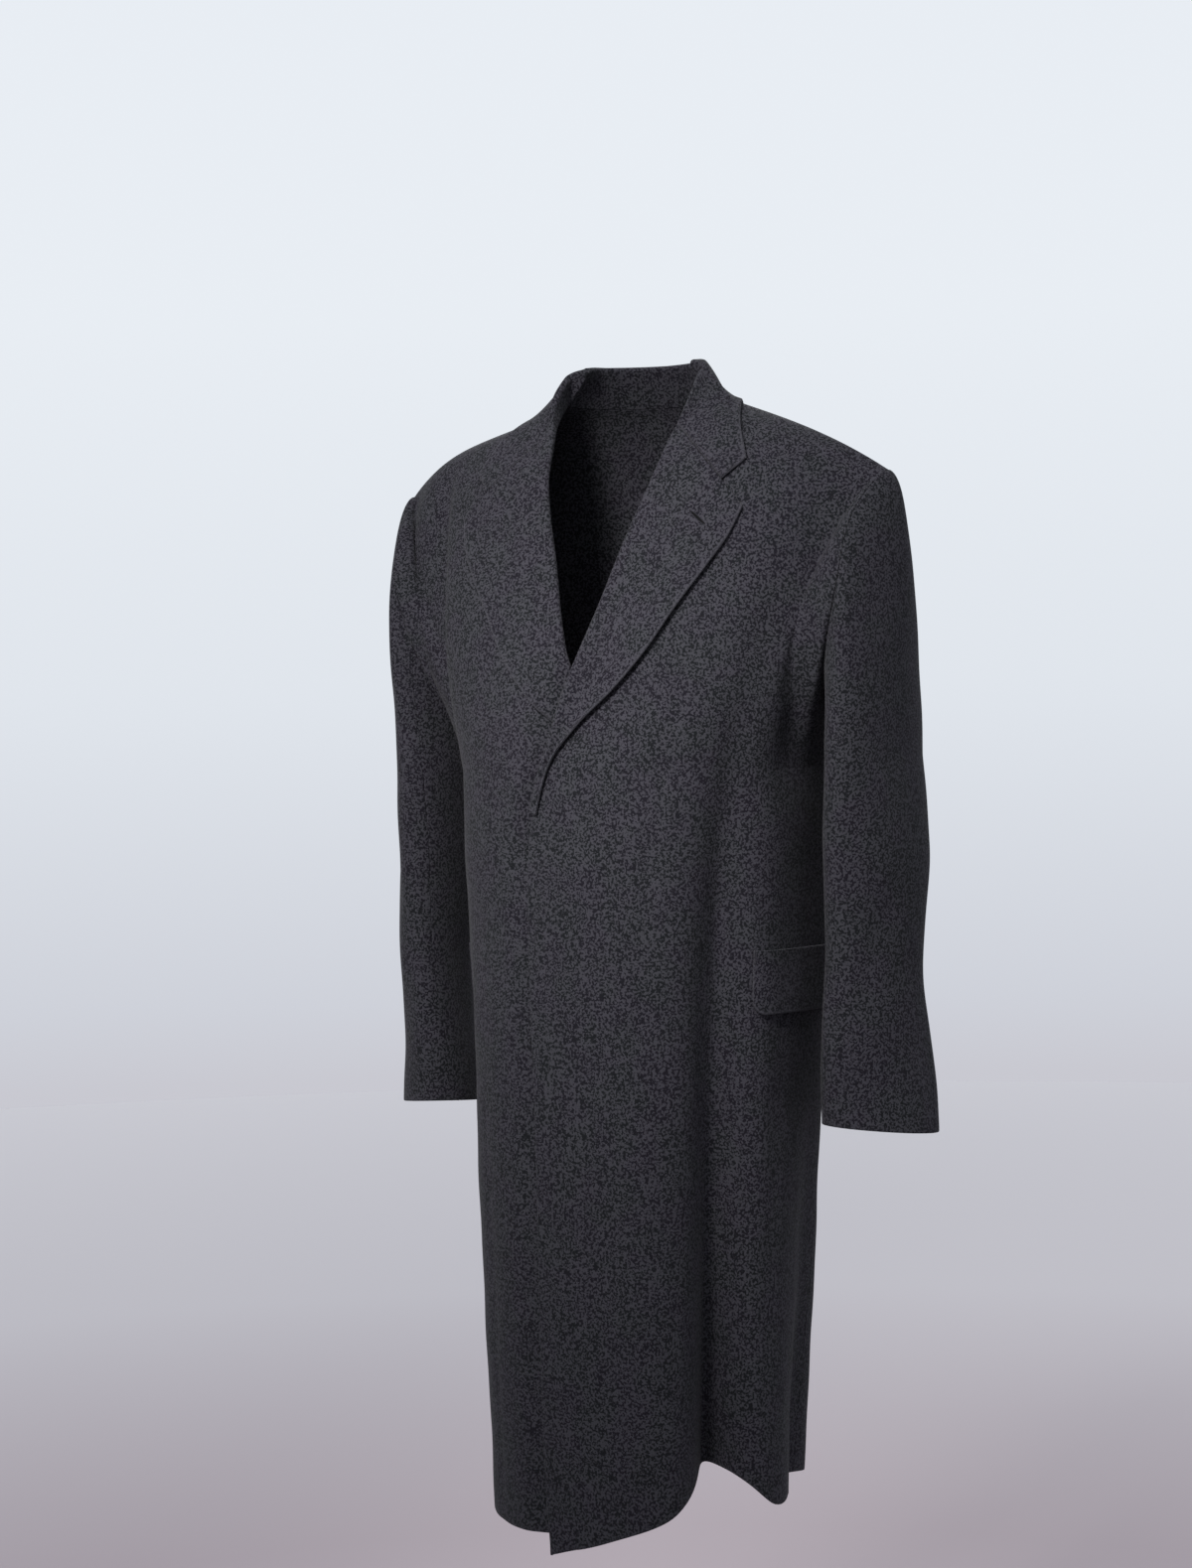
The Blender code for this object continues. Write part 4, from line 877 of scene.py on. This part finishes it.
# shaders
class Pattern:  # a socket with arithmetic: pattern * 2 + 1 adds the Math nodes
    def __init__(self, tree, socket=None):
        self.tree, self.socket = tree, socket

    def node(self, kind, settings=(), values=(), out=0):  # settings first, then values or links
        made = self.tree.nodes.new(kind)
        for name, value in dict(settings).items():
            if name == "stops":
                for stop, (place, shade) in zip(self.stops(made, len(value)), value):
                    stop.position, stop.color = place, shade
            else:
                setattr(made, name, value)
        for name, value in dict(values).items():
            if isinstance(value, Pattern):
                self.tree.links.new(value.socket, made.inputs[name])
            else:
                made.inputs[name].default_value = value
        return Pattern(self.tree, made.outputs[out])

    def stops(self, ramp, count):
        while len(ramp.color_ramp.elements) < count:
            ramp.color_ramp.elements.new(1)
        return ramp.color_ramp.elements

    def maths(self, operation, a, b):
        return self.node("ShaderNodeMath", {"operation": operation}, {0: a, 1: b})

    def __add__(self, other):
        return self.maths("ADD", self, other)

    def __rsub__(self, other):
        return self.maths("SUBTRACT", other, self)

    def __mul__(self, other):
        return self.maths("MULTIPLY", self, other)

    def noise(self, place, scale, detail, roughness):
        values = {"Vector": place, "Scale": scale, "Detail": detail, "Roughness": roughness}
        return self.node("ShaderNodeTexNoise", {}, values)

    def between(self, low, high):  # 0 below low, 1 above high
        values = {"Value": self, "From Min": low, "From Max": high}
        return self.node("ShaderNodeMapRange", {"interpolation_type": "SMOOTHSTEP"}, values)

    def mix(self, factor, first, second):
        values = {0: factor, 6: first, 7: second}
        return self.node("ShaderNodeMix", {"data_type": "RGBA"}, values, 2)


def newFinish(name, constants):  # a material, its shader's sockets and the start of its pattern
    made = bpy.data.materials.new(name)
    made.use_nodes = True
    sockets = made.node_tree.nodes["Principled BSDF"].inputs
    for socket, value in constants.items():
        sockets[socket].default_value = value
    return made, sockets, Pattern(made.node_tree)


wool = {
    "dark": (0.0026, 0.0026, 0.0034, 1),
    "light": (0.0322, 0.0312, 0.0366, 1),
    "violet": (0.0186, 0.0155, 0.0238, 1),
    "green": (0.0149, 0.0170, 0.0187, 1),
    # colour of the paler free edges: worn nap and a painted highlight
    "edge": (0.036, 0.035, 0.041, 1),
    "plain": (0.025, 0.025, 0.029),
    "fibres": (460, 1, 0.5),  # scale, detail, roughness
    "tufts": (230, 2, 0.6),
    "blotches": (26, 3, 0.55),
    "shares": (0.72, 0.28),  # of fibres and tufts in the fleck
    "fleck": (0.43, 0.57),
    "tintOver": (0.38, 0.62),
    "tint": 0.25,
    "wearAndHighlightWidth": 0.0045,
    "bump": {"Strength": 0.35, "Distance": 0.0010},
    "constants": {
        "Roughness": 0.92,
        "Specular IOR Level": 0.06,
        "Sheen Weight": 0.03,
        "Sheen Roughness": 0.5,
    },
}


def woolMaterial(name, lift, edgeWearAndHighlight):
    # dark and light fibres in flecks, under them two slow tints; free edges paler by the given
    # share: worn nap and a painted highlight
    made, sockets, start = newFinish(name, wool["constants"])
    place = start.node("ShaderNodeTexCoord", out="Object")
    fibres = start.noise(place, *wool["fibres"])
    tufts = start.noise(place, *wool["tufts"])
    blotches = start.noise(place, *wool["blotches"])
    fibreShare, tuftShare = wool["shares"]
    fleck = (fibres * fibreShare + tufts * tuftShare).between(*wool["fleck"])
    ground = start.mix(fleck, wool["dark"], wool["light"])
    tint = start.mix(blotches.between(*wool["tintOver"]), wool["green"], wool["violet"])
    colour = start.mix(wool["tint"], ground, tint)
    nearFree = start.node("ShaderNodeAttribute", {"attribute_name": "nearFree"}, out="Fac")
    # paler near free edges: a painted highlight along with worn nap
    shade = 1 - nearFree.between(0.0, wool["wearAndHighlightWidth"])
    wornAndHighlightedColour = start.mix(shade * edgeWearAndHighlight, colour, wool["edge"])
    start.tree.links.new(wornAndHighlightedColour.socket, sockets["Base Color"])
    nap = fibres * 0.5 + tufts * 0.5
    bump = start.node("ShaderNodeBump", {}, dict(wool["bump"], Height=nap))
    start.tree.links.new(bump.socket, sockets["Normal"])
    made.diffuse_color = [part * lift for part in wool["plain"]] + [1]
    return made


# the turned copy paints a stronger highlight and wear along its free edges
coating = woolMaterial("charcoal coating", 1.0, 0.12)
turnedCoating = woolMaterial("charcoal coating, turned", 1.1, 0.5)
print("cloth finish made")


buttonhole = {
    "ends": ((0.1110, -0.1205), (0.1285, -0.1345)),  # x, z
    "halfWidth": 0.0021,
    "slit": 0.50,  # share of the half width
    "slitFade": 0.14,
    "inmost": 0.06,
    "floor": 0.00012,  # height of the slit above the lapel
    "thread": 0.00065,
    "threadPower": 0.7,
    "sunk": -0.0006,
    "stitches": 48,
    "stitchDepth": 0.22,
    "steps": 288,
    "rows": 12,
    "threadColour": (0.018, 0.018, 0.022, 1),
    # near black in the slit: painted shade
    "paintedSlitShade": (0.0006, 0.0006, 0.0008, 1),
    "plain": (0.027, 0.027, 0.031, 1),
    "constants": {"Roughness": 0.8, "Specular IOR Level": 0.1},
}


def threadMaterial():
    made, sockets, start = newFinish("buttonhole thread and painted slit shade", buttonhole["constants"])
    inSlit = start.node("ShaderNodeAttribute", {"attribute_name": "inSlit"}, out="Fac")
    # thread colour, with painted shade in the slit
    colour = start.mix(inSlit, buttonhole["threadColour"], buttonhole["paintedSlitShade"])
    start.tree.links.new(colour.socket, sockets["Base Color"])
    made.diffuse_color = buttonhole["plain"]
    return made


def makeButtonhole(lapelPoints):
    # long thin ovals one in another, low in the slit, then up over a ridge of thread, half a sine
    # across with a cosine along it for the stitches, and down into the lapel
    tree = searchTree(lapelPoints)
    first, last = np.array(buttonhole["ends"])
    middle, half = (first + last) / 2, (last - first) / 2
    aside = np.array([-half[1], half[0]]) / np.linalg.norm(half) * buttonhole["halfWidth"]
    angle = np.linspace(0, 2 * math.pi, buttonhole["steps"], endpoint=False)[None, :, None]
    reach = np.linspace(buttonhole["inmost"], 1, buttonhole["rows"])[:, None, None]
    grow = 1 - (1 - reach) * buttonhole["halfWidth"] / np.linalg.norm(half)
    spots = middle + half * grow * np.cos(angle) + aside * reach * np.sin(angle)
    places = seenFromFront(tree, spots.reshape(-1, 2)).reshape(spots.shape[:2] + (3,))
    normals = nearestOn(tree, places)[1]
    normals = unit(normals * np.where(normals[..., 1:2] > 0, -1, 1))
    slit = buttonhole["slit"]
    share = np.clip((reach - slit) / (1 - slit), 0, 1)
    stitch = 1 + buttonhole["stitchDepth"] * np.cos(buttonhole["stitches"] * angle)
    ridge = buttonhole["thread"] * np.sin(math.pi * share) ** buttonhole["threadPower"]
    height = np.where(reach < 1, buttonhole["floor"] + ridge * stitch, buttonhole["sunk"])
    points = places + normals * height
    index = numbered(points)
    polygons = ringQuads(index).tolist() + [index[0].tolist(), index[-1][::-1].tolist()]
    # inSlit marks where the slit is painted near black as painted shade
    inSlit = (1 - ease(reach, slit, slit + buttonhole["slitFade"])) + 0 * angle
    piece = smoothPiece("buttonhole", points, polygons, "inSlit", inSlit, threadMaterial())
    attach(piece, "root")


# make the coat
flip = np.array([-1, 1, 1])


def mirrored(grid):
    return grid[:, ::-1] * flip


def kindsOf(first, last, low, high):
    return {"first": first, "last": last, "low": low, "high": high}


def makePiece(side, kind, grid, faces, kinds, material):
    node = kind + "_" + side
    if side == "right":
        grid, faces = mirrored(grid), mirrored(faces)
        kinds = dict(kinds, first=kinds["last"], last=kinds["first"])
    piece = shellPiece(node + "_cloth", grid, faces, kinds, material, node)


collarHalves = []
for side in ("left", "right"):
    points, places = bodyGrid(side)
    sleevePoints, turns = sleeveGrid(side)
    faces, sleeveFaces = facings(points, places, sleevePoints, turns)
    tree = searchTree(points)
    sideSeam = int(np.argmin(np.abs(places - 3)))
    foreSeam = int(np.argmin(np.abs(turns - body["foreSeam"])))
    panels = [  # kind, first border, points, facings, columns
        ("front", "free", points, faces, slice(None, sideSeam + 1)),
        ("back", "seam", points, faces, slice(sideSeam, None)),
        ("sleeve_under", "seam", sleevePoints, sleeveFaces, slice(None, foreSeam + 1)),
        ("sleeve_top", "seam", sleevePoints, sleeveFaces, slice(foreSeam, None)),
    ]
    for kind, first, grid, turned, cut in panels:
        kinds = kindsOf(first, "seam", "free", "seam")
        makePiece(side, kind, grid[:, cut], turned[:, cut], kinds, coating)
    grid, turned = lapelGrid(side, points, faces, tree)
    kinds = kindsOf("seam", "free", "free", "seam")
    makePiece(side, "lapel", grid, turned, kinds, turnedCoating)
    if side == "left":
        makeButtonhole(grid)
    grid, turned = flapGrid(tree)
    kinds = kindsOf("free", "free", "free", "seam")
    makePiece(side, "pocket_flap", grid, turned, kinds, turnedCoating)
    collarHalves.append(collarGrid(points, faces, places, tree))
    print(side, "half made")

(left, leftFaces), (right, rightFaces) = collarHalves
grid = np.concatenate([left, right[-2::-1] * flip])
turned = np.concatenate([leftFaces, rightFaces[-2::-1] * flip])
middle = len(left) - 1
grid[middle, :, 0] = 0
turned[middle, :, 0] = 0
kinds = kindsOf("seam", "free", "free", "free")
name = "collar_cloth"
piece = shellPiece(name, grid, turned, kinds, turnedCoating, "collar")
print("collar made")

# floor, light and camera
studio = {
    "azimuth": math.radians(31),
    "distance": 3.1,
    "height": -0.287,
    "pitch": math.radians(1.84),
    "roll": math.radians(1.07),
    "frame": 1579,  # height of the rendered frame; this and the next two in its pixels
    "focal": 3100,
    "shift": -48,
    "sensor": 36,
    "floorZ": -1.60,
    "floorRadius": 7.0,
    "floorSides": 96,
    "floorRings": (0.25, 0.5, 0.75, 1.0),
}
seen = studio["azimuth"]
rightWay = np.array([math.cos(seen), math.sin(seen), 0])
towards = np.array([math.sin(seen), -math.cos(seen), 0])
upWay = np.array([0, 0, 1.0])
pitch, roll = studio["pitch"], studio["roll"]
forward = -towards * math.cos(pitch) - upWay * math.sin(pitch)
above = -towards * math.sin(pitch) + upWay * math.cos(pitch)
camX = rightWay * math.cos(roll) - above * math.sin(roll)
camY = rightWay * math.sin(roll) + above * math.cos(roll)
place = towards * studio["distance"] + upWay * studio["height"]
cameraData = bpy.data.cameras.new("camera")
cameraData.lens = studio["focal"] / studio["frame"] * studio["sensor"]
cameraData.sensor_width = studio["sensor"]
cameraData.shift_x = studio["shift"] / studio["frame"]
camera = placed("camera", cameraData)
turnTo = Matrix(np.column_stack([camX, camY, -forward]).tolist()).to_4x4()
camera.matrix_world = Matrix.Translation(place.tolist()) @ turnTo
bpy.context.scene.camera = camera

angles = np.linspace(0, 2 * math.pi, studio["floorSides"] + 1)[:-1]
radii = studio["floorRadius"] * np.array(studio["floorRings"])
rings = np.stack([np.outer(radii, np.cos(angles)), np.outer(radii, np.sin(angles))], axis=-1)
rings = np.concatenate([rings, np.full(rings.shape[:2] + (1,), studio["floorZ"])], axis=-1)
index = numbered(rings)
polygons = [index[0].tolist()] + ringQuads(index).tolist()
floorMesh = bpy.data.meshes.new("floor")
floorMesh.from_pydata(rings.reshape(-1, 3).tolist(), [], polygons)
floor = placed("floor", floorMesh)
floorFinish, floorSockets, paintedFloorPattern = newFinish("pale floor, painted shade", {"Roughness": 0.9})
spot = paintedFloorPattern.node("ShaderNodeTexCoord", out="Object")
reach = paintedFloorPattern.node("ShaderNodeVectorMath", {"operation": "LENGTH"}, {0: spot}, "Value")
shadesReach = 8.0
paintedFloorShades = [  # distance from the coat over that reach, colour; painted shade: darker near the coat, with a painted shadow right under it, paler further out
    (0.02, (0.140, 0.120, 0.126, 1)),
    (0.165, (0.426, 0.360, 0.380, 1)),
    (0.29, (0.426, 0.360, 0.380, 1)),
    (0.49, (0.600, 0.565, 0.580, 1)),
    (0.90, (0.710, 0.680, 0.690, 1)),
]
# the floor's colour carries the painted shade by distance from the coat
shade = paintedFloorPattern.node("ShaderNodeValToRGB", {"stops": paintedFloorShades}, {"Fac": reach * (1 / shadesReach)})
paintedFloorPattern.tree.links.new(shade.socket, floorSockets["Base Color"])
floorMesh.materials.append(floorFinish)

bpy.context.scene.view_settings.view_transform = "Standard"
lights = [  # name, right, towards the camera, up, size, spread, watts, aimed at up, colour
    ("key", -0.78, 1.55, 0.75, 0.6, 40, 4.4, -0.40, (1.0, 0.99, 0.98)),
    ("top", 0.2, 0.8, 1.7, 1.0, 180, 4, -0.2, (0.98, 0.99, 1.0)),
    ("behind", 0.0, -1.8, 0.8, 1.0, 60, 3, -0.4, (0.98, 0.99, 1.0)),
]
for name, aside, ahead, up, size, spread, watts, aim, tint in lights:
    data = bpy.data.lights.new(name, "AREA")
    data.shape = "DISK"
    data.size = size
    data.spread = math.radians(spread)
    data.energy = watts
    data.color = tint
    lamp = placed(name, data)
    spot = Vector((rightWay * aside + towards * ahead + upWay * up).tolist())
    lamp.location = spot
    lamp.rotation_euler = (Vector((0, 0, aim)) - spot).to_track_quat("-Z", "Y").to_euler()

world = bpy.data.worlds.new("studio")
bpy.context.scene.world = world
world.use_nodes = True
sky = Pattern(world.node_tree)
way = sky.node("ShaderNodeTexCoord", out="Generated")
height = sky.node("ShaderNodeSeparateXYZ", {}, {"Vector": way}, "Z")
stops = [  # height from straight down, 0, to straight up, 1, and colour
    (0.00, (0.20, 0.17, 0.20, 1)),
    (0.436, (0.578, 0.578, 0.631, 1)),
    (0.450, (0.620, 0.640, 0.700, 1)),
    (0.4985, (0.745, 0.783, 0.838, 1)),
    (0.56, (0.81, 0.85, 0.90, 1)),
    (1.00, (0.80, 0.84, 0.91, 1)),
]
ramp = sky.node("ShaderNodeValToRGB", {"stops": stops}, {"Fac": height * 0.5 + 0.5})
background = world.node_tree.nodes["Background"]
world.node_tree.links.new(ramp.socket, background.inputs["Color"])
background.inputs["Strength"].default_value = 1.0
print("studio made")
